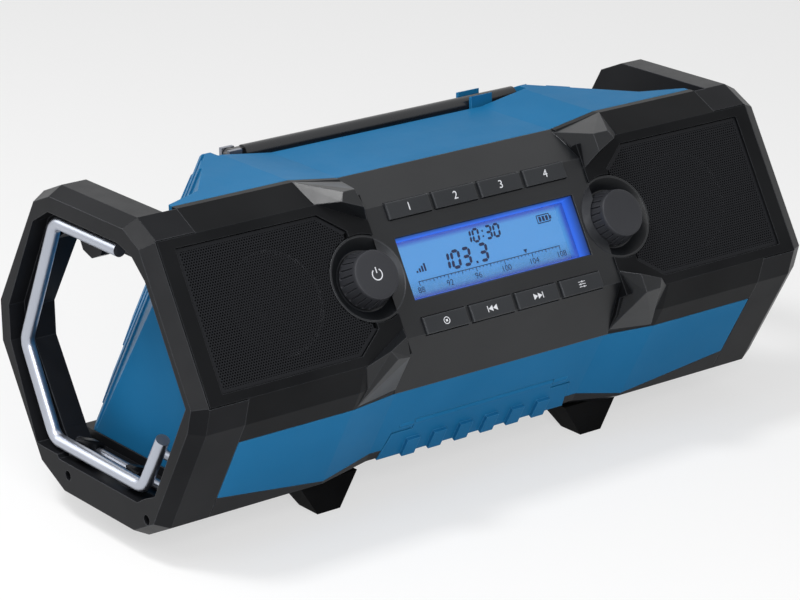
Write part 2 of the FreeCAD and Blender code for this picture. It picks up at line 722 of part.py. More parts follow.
def make_knob(x, label):
    """A fluted knob: a wide foot, a grip with finger flutes and a bevelled face."""
    body = doc.addObject("PartDesign::Body", label + "_body")
    planes = {plane.Role: plane for plane in body.Origin.OriginFeatures}

    def disc(name, radius, height, lift):
        sketch = body.newObject("Sketcher::SketchObject", label + name + "_sketch")
        sketch.AttachmentSupport = (planes["XY_Plane"], "")
        sketch.MapMode = "FlatFace"
        bind(sketch, "AttachmentOffset.Base.z", lift)
        sketch.addGeometry(Part.Circle(V(0, 0, 0), V(0, 0, 1), 1))
        sketch.addConstraint(Sketcher.Constraint("Coincident", 0, 3, -1, 1))
        rule = sketch.addConstraint(Sketcher.Constraint("Radius", 0, 1.0))
        bind(sketch, f"Constraints[{rule}]", radius)
        pad = body.newObject("PartDesign::Pad", label + name)
        pad.Profile = sketch
        bind(pad, "Length", height)
        return pad

    base = 5.2
    disc("_foot", "knob_radius + 1.6", 2.6, f"-{base}")
    disc("_grip", "knob_radius", f"{base} + knob_face", f"-{base}")
    flute_sketch = body.newObject("Sketcher::SketchObject", label + "_flute_sketch")
    flute_sketch.AttachmentSupport = (planes["XY_Plane"], "")
    flute_sketch.MapMode = "FlatFace"
    bind(flute_sketch, "AttachmentOffset.Base.z", "knob_face")
    draw_corners(flute_sketch, [("knob_radius + 1", "-1"), ("knob_radius + 1", "1"), ("knob_radius - 0.9", "0.3"),
                                ("knob_radius - 0.9", "-0.3")])
    flute = body.newObject("PartDesign::Pocket", label + "_flute")
    flute.Profile = flute_sketch
    bind(flute, "Length", f"knob_face + {base} - 3.2")
    doc.recompute()
    flutes = body.newObject("PartDesign::PolarPattern", label + "_flutes")
    flutes.Originals = [flute]
    flutes.Axis = ([o for o in body.Origin.OriginFeatures if o.Role == "Z_Axis"][0], [""])
    flutes.Angle = 360
    flutes.Occurrences = 24
    body.Tip = flutes
    doc.recompute()
    bore_sketch = body.newObject("Sketcher::SketchObject", label + "_bore_sketch")
    bore_sketch.AttachmentSupport = (planes["XY_Plane"], "")
    bore_sketch.MapMode = "FlatFace"
    bind(bore_sketch, "AttachmentOffset.Base.z", f"-{base}")
    bore_sketch.addGeometry(Part.Circle(V(0, 0, 0), V(0, 0, 1), 1))
    bore_sketch.addConstraint(Sketcher.Constraint("Coincident", 0, 3, -1, 1))
    rule = bore_sketch.addConstraint(Sketcher.Constraint("Radius", 0, 1.0))
    bind(bore_sketch, f"Constraints[{rule}]", "shaft_radius + shaft_fit")
    bore = body.newObject("PartDesign::Pocket", label + "_bore")
    bore.Profile = bore_sketch
    bind(bore, "Length", f"{base} + knob_face - 2.8")
    bore.Reversed = True
    body.Placement = panel_at(x=x)
    return body


for side, name in ((-1, "volume"), (1, "tune")):
    node(make_knob(side * size("knob_at"), name + "_knob"), name + "_knob")


def make_key(row, column, label):
    """A push button: its cap, the flange that keeps it in and the stem behind it."""
    x = (column - 1.5) * size("key_pitch")
    up = row * size("key_row")
    cap = block(label + "_cap", panel_at(x, up, -5.3), "key_long", "key_tall", "5.3 - key_down")
    flange = block(label + "_flange", panel_at(x, up, -6.6), "key_long + 1.6", "key_tall + 1.6", 1.3)
    stem = cylinder(label + "_stem", panel_at(x, up, -size("board_down") + 3.6 + size("key_travel") + 0.2), 2,
                    "board_down - 3.8 - key_travel - 6.6 + 0.1")
    return fuse(label, cap, flange, stem)


KEY_NAMES = {1: ["preset_button_1", "preset_button_2", "preset_button_3", "preset_button_4"],
             -1: ["pairing_button", "previous_button", "next_button", "settings_button"]}
switches = []
for row, names in KEY_NAMES.items():
    for column, name in enumerate(names):
        node(make_key(row, column, name), name)
        place = panel_at((column - 1.5) * size("key_pitch"), row * size("key_row"), -size("board_down"))
        switches.append(block(f"switch_{row}_{column}", place, 6, 6, 3.6))
node(group("switches", *switches), "key_switches")


# Rear housing, with its tapered ends, the aerial's ledge and clip, and the battery bay

HOUSING_REGION = [
    ("-frame_back + seam", "130"),
    ("-frame_back + seam", "59"),
    ("-nose_front + 20 + 1.5", "-band_drop - seam"),
    ("-68", "-band_drop - 2"),
    ("-49.5", "-tray_drop + seam"),
    ("130", "-tray_drop + seam"),
    ("130", "130"),
]

FLANGE = [
    ("-(overall_length/2 - loop_root - seam)", "-frame_back - 2"),
    ("-(overall_length/2 - loop_root - seam)", "-frame_back + 3.5"),
    ("-flange_in", "-flange_back"),
    ("flange_in", "-flange_back"),
    ("overall_length/2 - loop_root - seam", "-frame_back + 3.5"),
    ("overall_length/2 - loop_root - seam", "-frame_back - 2"),
]

BAY_UP = 2
BAY_SKIN = 5.5
TERMINAL_ROOM = 7


def bay(name, grow, depth_grow):
    """The battery bay's space, grown all round."""
    long = f"pack_long + pack_slide + 1 + {TERMINAL_ROOM} + 2*{grow}"
    place = back_at(TERMINAL_ROOM / 2, BAY_UP, -BAY_SKIN - size("pack_deep") - 0.5 - depth_grow)
    return block(name, place, long, f"pack_tall + 1 + 2*{grow}", "pack_deep + 40")


def end_rib(name, along, back):
    """A raised rib running up the left tapered end face."""
    turn = math.radians(size("end_turn"))
    tip = math.radians(size("end_tip"))
    across = V(math.sin(turn), math.cos(turn), 0)
    normal = V(-math.cos(tip) * math.cos(turn), math.cos(tip) * math.sin(turn), math.sin(tip))
    upward = normal.cross(across)
    foot = V(-size("end_at"), 46, 77) + plan_at(0).Base
    foot = foot + across * (along - 8) - normal * 1
    place = FreeCAD.Placement(foot, FreeCAD.Rotation(across, upward, normal, "ZXY"))
    return block(name, place, 13, 400, 2.2)


def make_housing():
    """The blue housing: top, back and ends in one moulding."""
    bar = waisted("housing_bar", "overall_length/2 - loop_root - seam")
    left = end_cutter("housing_end", 0)
    tapered = cut("housing_taper", bar, left, mirror("housing_end_right", left))
    flange = extrude("flange_tool", outline("flange_outline", plan_at(40), FLANGE), 80)
    flange = common("flange", bar, flange)
    shell = cut("housing_shell", fuse("housing_solid", tapered, flange), inside)
    shell = common("housing_walls", shell, section_part("housing_region", HOUSING_REGION, 400))
    bay_wall = common("bay_wall", bay("bay_outside", "wall", size("wall")), bar)
    back = section_part("behind_tray", [("-20", "-tray_drop + seam"), ("130", "-tray_drop + seam"),
                                        ("130", "70"), ("-20", "70")], 400)
    body = fuse("housing_body", shell, common("bay_wall_kept", bay_wall, back))
    clip_walls = [extrude(f"clip_wall_{i}", outline(f"clip_outline_{i}", section_at(64), [
        (f"aerial_back + {y} - 1", "aerial_rise - aerial_radius - 2"),
        (f"aerial_back + {y} + 1", "aerial_rise - aerial_radius - 2"),
        (f"aerial_back + {y} + 1", "aerial_rise + aerial_radius + 0.8"),
        (f"aerial_back + {y} - 1", "aerial_rise + aerial_radius + 1.4")]), 14)
        for i, y in enumerate((-5.6, 5.6))]
    ribs = [end_rib(f"end_rib_{i}", along, back) for i, (along, back) in enumerate(
        ((-24, 0), (0, 0), (24, 0)))]
    above_tray = section_part("above_tray", [("-29", "-tray_drop + seam"), ("130", "-tray_drop + seam"),
                                             ("130", "130"), ("-29", "130")], 400)
    ribs = common("end_ribs", fuse("end_rib_set", *ribs), bar, above_tray)
    ledge = aerial_ledge("ledge", 0)
    opened = cut("housing_open", body, bay("bay_inside", 0, 0), ledge, console_envelope)
    return fuse("housing", opened, *clip_walls, ribs, mirror("end_ribs_right", ribs))


rear_housing = node(make_housing(), "rear_housing")

# Belly panel, socket flap and base tray

def belly_tool(name, gap):
    """The outline of the belly panel, as a tool across the lower front face."""
    top = 12.4
    corners = [(f"-164.4 - {gap}", f"-{top} + {gap}"), ("-waist_mouth", f"-{top} + {gap}"),
               ("-waist_floor", f"-{top} - 2.4 + {gap}"), ("waist_floor", f"-{top} - 2.4 + {gap}"),
               ("waist_mouth", f"-{top} + {gap}"), (f"164.4 + {gap}", f"-{top} + {gap}"),
               (f"164.4 + {gap}", f"-53 - {gap}"), ("waist_mouth", f"-65 - {gap}"),
               ("waist_floor", f"-60 - {gap}"), ("-waist_floor", f"-60 - {gap}"),
               ("-waist_mouth", f"-65 - {gap}"), (f"-164.4 - {gap}", f"-53 - {gap}")]
    return extrude(name, outline(name + "_outline", belly_at(out=-14), corners), 40)


FLAP_AXIS_DOWN = 44
FLAP_AXIS_OUT = -7
FLAP_FOOT = 67


def flap_outline(gap):
    """The flap's outline: a strip between the hinge ears and a wider apron below it."""
    return [(f"-flap_half + 3 - {gap}", f"-{FLAP_AXIS_DOWN}"), (f"flap_half - 3 + {gap}", f"-{FLAP_AXIS_DOWN}"),
            (f"flap_half - 3 + {gap}", f"-{FLAP_AXIS_DOWN} - 4.5 + 2*{gap}"),
            (f"flap_half + 10 + {gap}", f"-{FLAP_AXIS_DOWN} - 4.5 + 2*{gap}"),
            (f"flap_half + 13 + {gap}", f"-{FLAP_FOOT} - {gap}"),
            (f"-flap_half - 13 - {gap}", f"-{FLAP_FOOT} - {gap}"),
            (f"-flap_half - 10 - {gap}", f"-{FLAP_AXIS_DOWN} - 4.5 + 2*{gap}"),
            (f"-flap_half + 3 - {gap}", f"-{FLAP_AXIS_DOWN} - 4.5 + 2*{gap}")]


def along_hinge(name, left, right, radius):
    """A round bar on the flap's hinge axis."""
    place = turned(belly_at(left, FLAP_AXIS_DOWN, FLAP_AXIS_OUT), V(0, 1, 0), 90)
    return cylinder(name, place, radius, right - left)


def make_flap():
    """The socket flap, with its knuckle and the five finger grips along its lower edge."""
    plate = extrude("flap_plate", outline("flap_outline", belly_at(out=-FLAP_SKIN - 3.5), flap_outline(0)),
                    "flap_thick")
    knuckle = along_hinge("flap_knuckle", -size("flap_half") + 3, size("flap_half") - 3, 3)
    ribs = [block(f"flap_rib_{i}", belly_at((i - 2.5) * 17, FLAP_FOOT - 6, -FLAP_SKIN), 8, 12, 2)
            for i in range(6)]
    bore = along_hinge("flap_bore", -80, 80, 1.05)
    return cut("flap", fuse("flap_body", plate, knuckle, *ribs), bore)


FLAP_SKIN = 4.2
port_flap = node(make_flap(), "port_flap")
node(along_hinge("flap_pin", -size("flap_half") - 8, size("flap_half") + 8, 1), "flap_pin")


def make_belly():
    """The blue panel of the lower front face, with the opening and the ears of its flap."""
    bar = waisted("belly_bar", "overall_length/2 - loop_root - seam")
    panel = common("belly_panel_solid", cut("belly_shell", bar, inside), belly_tool("belly_keep", 0))
    front_only = section_part("belly_region", [
        ("-130", "-band_drop - seam"), ("-71.5", "-band_drop - seam"), ("-38.4", "-80"), ("-130", "-80")], 400)
    panel = common("belly_front", panel, front_only)
    room = extrude("flap_room", outline("flap_room_outline", belly_at(out=-30), flap_outline(0.5)), 60)
    knuckle_room = along_hinge("knuckle_room", -size("flap_half") + 2.5, size("flap_half") - 2.5, 3.6)
    ears = [along_hinge(f"ear_{i}", left, left + 9, 3) for i, left in
            enumerate((-size("flap_half") - 6.5, size("flap_half") - 2.5))]
    bore = along_hinge("ear_bore", -80, 80, 1.05)
    open_panel = cut("belly_open", panel, room, knuckle_room, shoulders[2], shoulders[3])
    return cut("belly", fuse("belly_body", open_panel, *ears), bore)


belly_panel = node(make_belly(), "belly_panel")

BASE_REGION = [
    ("-130", "-40"),
    ("-66.5", "-40"),
    ("-56.7", "-tray_drop"),
    ("130", "-tray_drop"),
    ("130", "-130"),
    ("-130", "-130"),
]


def make_base():
    """The black tray that the housing and the belly panel stand in."""
    bar = waisted("base_bar", "overall_length/2 - loop_root - seam")
    shell = common("base_walls", cut("base_shell", bar, inside), section_part("base_region", BASE_REGION, 400))
    room = extrude("flap_room_low", outline("flap_room_low_outline", belly_at(out=-12), flap_outline(0.5)), 60)
    low_bay = bay("bay_low", "seam + wall", size("wall") + size("seam"))
    return cut("base", shell, belly_tool("belly_room", 0.4), room, low_bay)


base_tray = node(make_base(), "base_tray")

foot_bar = waisted("foot_bar", "overall_length/2 - loop_root")
feet = []
for number, (side, end) in enumerate(((-1, -1), (1, -1), (-1, 1), (1, 1))):
    sole = FreeCAD.Placement(V(side * size("foot_at"), end * (size("foot_back") + 5), 0), FreeCAD.Rotation())
    top = FreeCAD.Placement(V(side * size("foot_at"), end * size("foot_back"), 18), FreeCAD.Rotation())
    foot = loft(f"foot_{number}", outline(f"foot_sole_{number}", sole, rectangle(7, 8)),
                outline(f"foot_top_{number}", top, rectangle(18, 13)))
    feet.append(cut(f"foot_seated_{number}", foot, foot_bar))
node(group("feet", *feet), "feet")

port = block("port_plate", belly_at(0, 57, -11.5), 132, 16, 3.4)
usb = block("usb_hole", belly_at(-22, 57, -20), 16, 9, 30)
aux = cylinder("aux_hole", belly_at(6, 57, -20), 1.8, 30)
inlet = cylinder("inlet_hole", belly_at(28, 57, -20), 3, 30)
node(cut("port_panel", port, usb, aux, inlet), "port_panel")

# Hook, its saddles, pins and rest

HOOK_PATH = [(-22, 63.5), (36, 63.5), (70.3, -7.6), (46.3, -53.5), (-35.2, -53.5), (-53.5, -23.3)]
HOOK_BEND = 9
HOOK_LOW = -53.5


def bent_path(name, place, points, radius):
    """A path of straight runs joined by arcs of one radius."""
    spots = [V(across, up, 0) for across, up in points]
    edges = []
    start = spots[0]
    for before, corner, after in zip(spots, spots[1:], spots[2:]):
        back = (before - corner).normalize()
        ahead = (after - corner).normalize()
        half = back.getAngle(ahead) / 2
        reach = radius / math.tan(half)
        middle = corner + (back + ahead).normalize() * (radius / math.sin(half) - radius)
        edges.append(Part.LineSegment(start, corner + back * reach).toShape())
        edges.append(Part.Arc(corner + back * reach, middle, corner + ahead * reach).toShape())
        start = corner + ahead * reach
    edges.append(Part.LineSegment(start, spots[-1]).toShape())
    path = doc.addObject("Part::Feature", name)
    path.Shape = Part.Wire(edges)
    path.Placement = place
    return path


def make_hook():
    """The steel hook: one bent rod that folds flat into the left loop's rebate."""
    place = section_at(-HALF + size("hook_inset"))
    path = bent_path("hook_path", place, HOOK_PATH, HOOK_BEND)
    start = place.multVec(V(*HOOK_PATH[0], 0))
    ring_sketch = doc.addObject("Sketcher::SketchObject", "hook_ring")
    ring_sketch.Placement = FreeCAD.Placement(start, FreeCAD.Rotation(V(1, 0, 0), 90))
    ring_sketch.addGeometry(Part.Circle(V(0, 0, 0), V(0, 0, 1), 1))
    ring_sketch.addConstraint(Sketcher.Constraint("Coincident", 0, 3, -1, 1))
    rule = ring_sketch.addConstraint(Sketcher.Constraint("Radius", 0, 1.0))
    bind(ring_sketch, f"Constraints[{rule}]", "hook_radius")
    rod = doc.addObject("Part::Sweep", "hook")
    rod.Sections = [ring_sketch]
    rod.Spine = (path, [])
    rod.Solid = True
    rod.Frenet = False
    return rod


node(make_hook(), "hook_rod")


def make_saddle(name, y):
    """A snap-in saddle that the hook's lower run turns in, held by the lower pin."""
    low = -57.8
    body = extrude(name + "_body", outline(name + "_outline", FreeCAD.Placement(
        V(0, y + 5, size("axis_height")), FreeCAD.Rotation(V(1, 0, 0), 90)), [
            ("-overall_length/2 + 0.8", f"{low}"),
            ("-overall_length/2 + pin_inset + 3.6", f"{low}"),
            ("-overall_length/2 + pin_inset + 3.6", "-52.6"),
            ("-overall_length/2 + pin_inset - 4", "-49.6"),
            ("-overall_length/2 + 0.8", "-49.6")]), 10)
    turn = FreeCAD.Rotation(V(1, 0, 0), 90)
    bore = cylinder(name + "_bore", FreeCAD.Placement(V(-HALF + size("hook_inset"), y + 20, size("axis_height")
                                                        + HOOK_LOW), turn), "hook_radius + 0.06", 40)
    mouth = block(name + "_mouth", FreeCAD.Placement(V(-HALF + size("hook_inset"), y, size("axis_height")
                                                       + HOOK_LOW), FreeCAD.Rotation()), 6.2, 40, 20)
    return cut(name, body, bore, mouth, pin(name + "_pin_hole", PIN_LOW, y + 20, y - 20, 0.05))


node(group("saddles", make_saddle("saddle_rear", 27), make_saddle("saddle_front", -19)), "hook_saddles")
node(pin("low_pin", PIN_LOW, 45, -51), "saddle_pin")
node(pin("high_pin", PIN_HIGH, -37, -63), "hook_stop_pin")
node(extrude("clip", outline("clip_outline", section_at(-HALF + 10), [
    ("1", "59.9"), ("4", "53"), ("12", "49.5"), ("20", "52"), ("24", "59.9")]), 9), "hook_clip")

screws = []
for side in (-1, 1):
    for across in (28, -44):
        place = section_at(side * (HALF - 6) - 1)
        place = place.multiply(FreeCAD.Placement(V(across, -66.5, 0), FreeCAD.Rotation()))
        screws.append(cylinder(f"guard_screw_{side}_{across}", place, 2.4, 2))
node(group("screws", *screws), "guard_screws")

# Aerial

AERIAL_Z = size("axis_height") + size("aerial_rise")


def make_aerial():
    """The folded rod aerial: a flat eye at its pivot and a round rod."""
    start = V(-size("aerial_pivot") + 7, size("aerial_back"), AERIAL_Z)
    rod = cylinder("aerial_round", FreeCAD.Placement(start, FreeCAD.Rotation(V(0, 1, 0), 90)), "aerial_radius",
                   "aerial_long - 7")
    eye_place = FreeCAD.Placement(V(-size("aerial_pivot"), size("aerial_back") + 2, AERIAL_Z),
                                  FreeCAD.Rotation(V(1, 0, 0), 90))
    eye = cylinder("aerial_eye", eye_place, 3.6, 4)
    neck = block("aerial_neck", FreeCAD.Placement(V(-size("aerial_pivot") + 4, size("aerial_back"), AERIAL_Z - 3.2),
                                                  FreeCAD.Rotation()), 8, 4, 6.4)
    bore_place = FreeCAD.Placement(V(-size("aerial_pivot"), size("aerial_back") + 10, AERIAL_Z),
                                   FreeCAD.Rotation(V(1, 0, 0), 90))
    return cut("aerial", fuse("aerial_body", rod, eye, neck), cylinder("aerial_bore", bore_place, 1.55, 20))


def make_aerial_base():
    """The fork that the aerial turns up in, with its pin."""
    floor = size("axis_height") + 72.4
    plate = block("fork_plate", FreeCAD.Placement(V(-size("aerial_pivot") - 1, size("aerial_back"), floor + 0.05),
                                                  FreeCAD.Rotation()), 12, 12, 1)
    ears = [block(f"fork_ear_{i}", FreeCAD.Placement(V(-size("aerial_pivot"), size("aerial_back") + y, floor + 0.05),
                                                     FreeCAD.Rotation()), 7.6, 2.4, 8.6)
            for i, y in enumerate((-3.6, 3.6))]
    pin_place = FreeCAD.Placement(V(-size("aerial_pivot"), size("aerial_back") + 5.4, AERIAL_Z),
                                  FreeCAD.Rotation(V(1, 0, 0), 90))
    return fuse("fork", plate, *ears, cylinder("fork_pin", pin_place, 1.5, 10.8))


node(make_aerial(), "antenna_rod")
node(make_aerial_base(), "antenna_fork")

# Battery

def make_pack():
    """The battery: its case with bevelled long edges, a latch pocket and slots for the blades."""
    place = back_at(size("pack_slide") / 2, BAY_UP, -BAY_SKIN - size("pack_deep"))
    half_long = size("pack_long") / 2
    side_place = turned(place, V(0, 1, 0), 90)
    case = extrude("pack_case", outline("pack_outline", FreeCAD.Placement(
        place.multVec(V(-half_long, 0, 0)), side_place.Rotation), [
            ("0", "-pack_tall/2"), ("0", "pack_tall/2"), ("-pack_deep + 6", "pack_tall/2"),
            ("-pack_deep", "pack_tall/2 - 6"), ("-pack_deep", "-pack_tall/2 + 6"),
            ("-pack_deep + 6", "-pack_tall/2")]), "pack_long")
    latch_room = block("latch_room", place.multiply(FreeCAD.Placement(V(-half_long + 16, 0, size("pack_deep") - 6),
                                                                      FreeCAD.Rotation())), 15, 27, 20)
    slots = [block(f"blade_slot_{i}", place.multiply(FreeCAD.Placement(V(half_long - 5, (i - 1) * 18, 8),
                                                                       FreeCAD.Rotation())), 12, 2.2, 14)
             for i in range(3)]
    return cut("pack", case, latch_room, *slots)


def make_latch():
    """The battery's push latch, in its pocket."""
    place = back_at(size("pack_slide") / 2 - size("pack_long") / 2 + 16, BAY_UP, -BAY_SKIN - 3.4)
    return block("latch", place, 14, 26, 3.2)


def make_terminals():
    """The block of three blades at the left end of the bay."""
    x = size("pack_slide") / 2 + size("pack_long") / 2 + 0.5
    place = back_at(x + TERMINAL_ROOM / 2 - 0.05, BAY_UP, -BAY_SKIN - size("pack_deep") - 0.45)
    body = block("terminal_block", place, TERMINAL_ROOM - 0.2, 56, 30)
    blades = [block(f"blade_{i}", back_at(x - 3, BAY_UP + (i - 1) * 18, -BAY_SKIN - size("pack_deep") + 9), 9, 0.8, 10)
              for i in range(3)]
    return fuse("terminals", body, *blades)


node(make_pack(), "battery_pack")
node(make_latch(), "battery_latch")
node(make_terminals(), "battery_terminals")


def check_all():
    """Stops if any feature failed or any sub-part is empty or invalid."""
    doc.recompute()
    failed = [thing.Name for thing in doc.Objects if "Invalid" in thing.State or "Error" in thing.State]
    if failed:
        raise RuntimeError("failed features: " + ", ".join(failed))
    for thing in NODES:
        if thing.Shape.isNull() or not thing.Shape.isValid() or not thing.Shape.Solids:
            raise RuntimeError("bad shape: " + thing.Label)


def write_all():
    """Writes each sub-part to its own file, moved so the origin is under the middle of the whole."""
    os.makedirs("parts", exist_ok=True)
    front = console.Shape.optimalBoundingBox().YMin
    shift = -(front + size("spine_back")) / 2
    print("moved along Y by", round(shift, 4))
    for thing in NODES:
        thing.Shape.translated(V(0, shift, 0)).exportStep(f"parts/{thing.Label}.step")


check_all()
write_all()
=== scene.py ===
import math

import bpy
from mathutils import Matrix, Vector


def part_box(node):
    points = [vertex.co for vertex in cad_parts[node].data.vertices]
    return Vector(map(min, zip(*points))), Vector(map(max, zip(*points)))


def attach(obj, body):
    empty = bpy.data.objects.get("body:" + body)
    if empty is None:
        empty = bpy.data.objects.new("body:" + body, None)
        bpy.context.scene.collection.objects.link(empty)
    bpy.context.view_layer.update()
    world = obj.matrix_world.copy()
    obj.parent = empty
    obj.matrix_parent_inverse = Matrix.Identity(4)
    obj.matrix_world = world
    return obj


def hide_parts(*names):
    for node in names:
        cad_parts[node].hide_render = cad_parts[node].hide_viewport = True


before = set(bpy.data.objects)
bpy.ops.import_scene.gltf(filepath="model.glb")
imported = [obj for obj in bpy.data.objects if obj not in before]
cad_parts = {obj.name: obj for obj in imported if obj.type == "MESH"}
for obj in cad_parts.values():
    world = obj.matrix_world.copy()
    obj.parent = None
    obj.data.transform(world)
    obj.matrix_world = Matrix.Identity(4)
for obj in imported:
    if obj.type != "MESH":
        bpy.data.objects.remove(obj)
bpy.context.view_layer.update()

bl_info = {
    "name": "Jobsite radio",
    "version": (1, 0, 0),
    "blender": (4, 5, 0),
    "location": "3D View > Sidebar > Radio",
    "description": "Finishes and fine pieces of a six-sided jobsite radio, over its fixed CAD frame",
    "category": "Object",
}

# Places shared by the pieces, in metres, read from the frame where it holds them

MM = 0.001
SPINE_BACK = 90 * MM
AXIS_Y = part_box("rear_housing")[1][1] - SPINE_BACK
PANEL_MIDDLE = Vector((0, AXIS_Y - 70.3 * MM, 129.4 * MM))
LEAN = math.radians(60)
PANEL = Matrix.Translation(PANEL_MIDDLE) @ Matrix.Rotation(LEAN, 4, "X")
PANEL_ACROSS = (1, 0, 0)
PANEL_UP = (0, math.cos(LEAN), math.sin(LEAN))
KNOB_AT = 78.6 * MM
KNOB_FACE = 6.8 * MM
KEY_PITCH = 29 * MM
KEY_ROW = 29.6 * MM
KEY_FACE = 0.5 * MM
KEY_ROWS = {1: ("preset_button_1", "preset_button_2", "preset_button_3", "preset_button_4"),
            -1: ("pairing_button", "previous_button", "next_button", "settings_button")}
MIDDLE_COLUMN = 1.5
SCREEN_FACE = -9.6 * MM
SCREEN_HALF = Vector((54.5 * MM, 14 * MM, 0))
RIM_FOOT = 0.9 * MM
RIM_MOUTH = 2 * MM


def linear(code):
    """A colour written as sRGB hex, as the linear values that shaders take."""
    parts = [int(code[i:i + 2], 16) / 255 for i in (1, 3, 5)]
    return tuple(c / 12.92 if c <= 0.04045 else ((c + 0.055) / 1.055) ** 2.4 for c in parts)


# Materials

PLASTIC_IOR = 1.5
POLYCARBONATE_IOR = 1.49
EDGE_ROUND = 0.6 * MM
FLAT_FACE = 0.995
SHARP_EDGE = 0.85
FLOW_SIZE = 55.6 * MM
MARK_SIZE = 16.7 * MM
GLOSS_SPREAD = 0.1
PLAIN_GLEAM = 0.5
PIT_DEPTH = 0.2 * MM
LINE_SPACING = 1.11 * MM
LINE_LENGTH = 16.7 * MM
LINE_DEPTH = 0.1 * MM
CLOUD_SIZE = 25 * MM
PEEL_SIZE = 0.6 * MM
COAT_GLEAM = 0.1
SMEAR_SIZE = 22.2 * MM
INK_SIZE = 0.5 * MM
CRYSTAL_SIZE = 1.2 * MM
EDGE_SIDE = 4 * MM
EDGE_TOP = 3 * MM


def shaded(colour, factor=1.0):
    """A colour made darker or lighter, with full cover."""
    return (*[c * factor for c in colour], 1)


def add(tree, kind, settings=(), links=()):
    """Adds a node, sets its properties or sockets, and links sockets to it."""
    made = tree.nodes.new(kind)
    for key, value in dict(settings).items():
        if isinstance(key, str) and hasattr(made, key) and key not in made.inputs:
            setattr(made, key, value)
        else:
            made.inputs[key].default_value = value
    for key, source in dict(links).items():
        tree.links.new(source, made.inputs[key])
    return made


def new_material(name):
    """An empty node material: its tree, its shader and its Object coordinates."""
    finish = bpy.data.materials.new(name)
    finish.use_nodes = True
    tree = finish.node_tree
    shader = tree.nodes["Principled BSDF"]
    place = add(tree, "ShaderNodeTexCoord").outputs["Object"]
    return finish, tree, shader, place


def rounded_edges(tree, radius):
    """Softened normals for a moulding's edges, and a mask that is 1 on those edges."""
    soft = add(tree, "ShaderNodeBevel", {"samples": 4, "Radius": radius})
    surface = add(tree, "ShaderNodeNewGeometry")
    lean = add(tree, "ShaderNodeVectorMath", {"operation": "DOT_PRODUCT"},
               {0: soft.outputs["Normal"], 1: surface.outputs["Normal"]})
    edge = add(tree, "ShaderNodeMapRange", {"From Min": FLAT_FACE, "From Max": SHARP_EDGE},
               {"Value": lean.outputs["Value"]})
    return soft.outputs["Normal"], edge.outputs["Result"]


def moulded(name, colour, grain=0.35, rough=0.45, bump=0.04, shade=0.12, gleam=PLAIN_GLEAM, edge_wear_and_highlight=None):
    """Injection-moulded plastic: a fine grain in mm, faint flow shading, handling marks, and edges painted
    paler, partly as wear and partly as a painted highlight.
    """
    finish, tree, shader, place = new_material(name)
    pale = tuple(min(1, c * (1 + shade) + 0.004) for c in colour)
    flow = add(tree, "ShaderNodeTexNoise", {"Scale": 1 / FLOW_SIZE, "Detail": 3.0}, {"Vector": place})
    tint = add(tree, "ShaderNodeValToRGB", links={"Fac": flow.outputs["Fac"]})
    tint.color_ramp.elements[0].color = shaded(colour, 1 - shade)
    tint.color_ramp.elements[0].position = 0.3
    tint.color_ramp.elements[1].color = shaded(pale)
    tint.color_ramp.elements[1].position = 0.7
    marks = add(tree, "ShaderNodeTexNoise", {"Scale": 1 / MARK_SIZE, "Detail": 6.0, "Roughness": 0.7},
                {"Vector": place})
    gloss = add(tree, "ShaderNodeMapRange", {"To Min": rough - GLOSS_SPREAD, "To Max": rough + GLOSS_SPREAD},
                {"Value": marks.outputs["Fac"]})
    pits = add(tree, "ShaderNodeTexNoise", {"Scale": 1 / (grain * MM), "Detail": 2.0}, {"Vector": place})
    relief = add(tree, "ShaderNodeBump", {"Strength": bump, "Distance": PIT_DEPTH},
                 {"Height": pits.outputs["Fac"]})
    shown = tint
    if edge_wear_and_highlight:
        normal, edge = rounded_edges(tree, EDGE_ROUND)
        tree.links.new(normal, relief.inputs["Normal"])
        # Paler colour on the edges where the marks allow: partly wear, partly a painted highlight for the
        # light that bevels catch
        wear_and_highlight_mask = add(tree, "ShaderNodeMath", {"operation": "MULTIPLY"}, {0: edge, 1: marks.outputs["Fac"]})
        shown = add(tree, "ShaderNodeMixRGB", {"Color2": shaded(edge_wear_and_highlight)},
                    {"Fac": wear_and_highlight_mask.outputs["Value"], "Color1": tint.outputs["Color"]})
    tree.links.new(shown.outputs["Color"], shader.inputs["Base Color"])
    tree.links.new(gloss.outputs["Result"], shader.inputs["Roughness"])
    tree.links.new(relief.outputs["Normal"], shader.inputs["Normal"])
    shader.inputs["IOR"].default_value = PLASTIC_IOR
    shader.inputs["Specular IOR Level"].default_value = gleam
    return finish


def drawn_steel(name, colour, rough):
    """Zinc-plated steel: bright metal with fine draw lines along Y and a few cloudy spots."""
    finish, tree, shader, place = new_material(name)
    # The real lines are finer than this and wouldn't show, so they are drawn about a millimetre apart
    stretch = add(tree, "ShaderNodeMapping", {"Scale": (1 / LINE_SPACING, 1 / LINE_LENGTH, 1 / LINE_SPACING)},
                  {"Vector": place})
    lines = add(tree, "ShaderNodeTexNoise", {"Scale": 1.0, "Detail": 3.0},
                {"Vector": stretch.outputs["Vector"]})
    gloss = add(tree, "ShaderNodeMapRange", {"To Min": rough - 0.06, "To Max": rough + 0.08},
                {"Value": lines.outputs["Fac"]})
    cloud = add(tree, "ShaderNodeTexNoise", {"Scale": 1 / CLOUD_SIZE, "Detail": 2.0}, {"Vector": place})
    tint = add(tree, "ShaderNodeValToRGB", links={"Fac": cloud.outputs["Fac"]})
    tint.color_ramp.elements[0].color = shaded(colour, 0.85)
    tint.color_ramp.elements[1].color = shaded(colour)
    relief = add(tree, "ShaderNodeBump", {"Strength": 0.05, "Distance": LINE_DEPTH},
                 {"Height": lines.outputs["Fac"]})
    tree.links.new(tint.outputs["Color"], shader.inputs["Base Color"])
    tree.links.new(gloss.outputs["Result"], shader.inputs["Roughness"])
    tree.links.new(relief.outputs["Normal"], shader.inputs["Normal"])
    shader.inputs["Metallic"].default_value = 1.0
    return finish


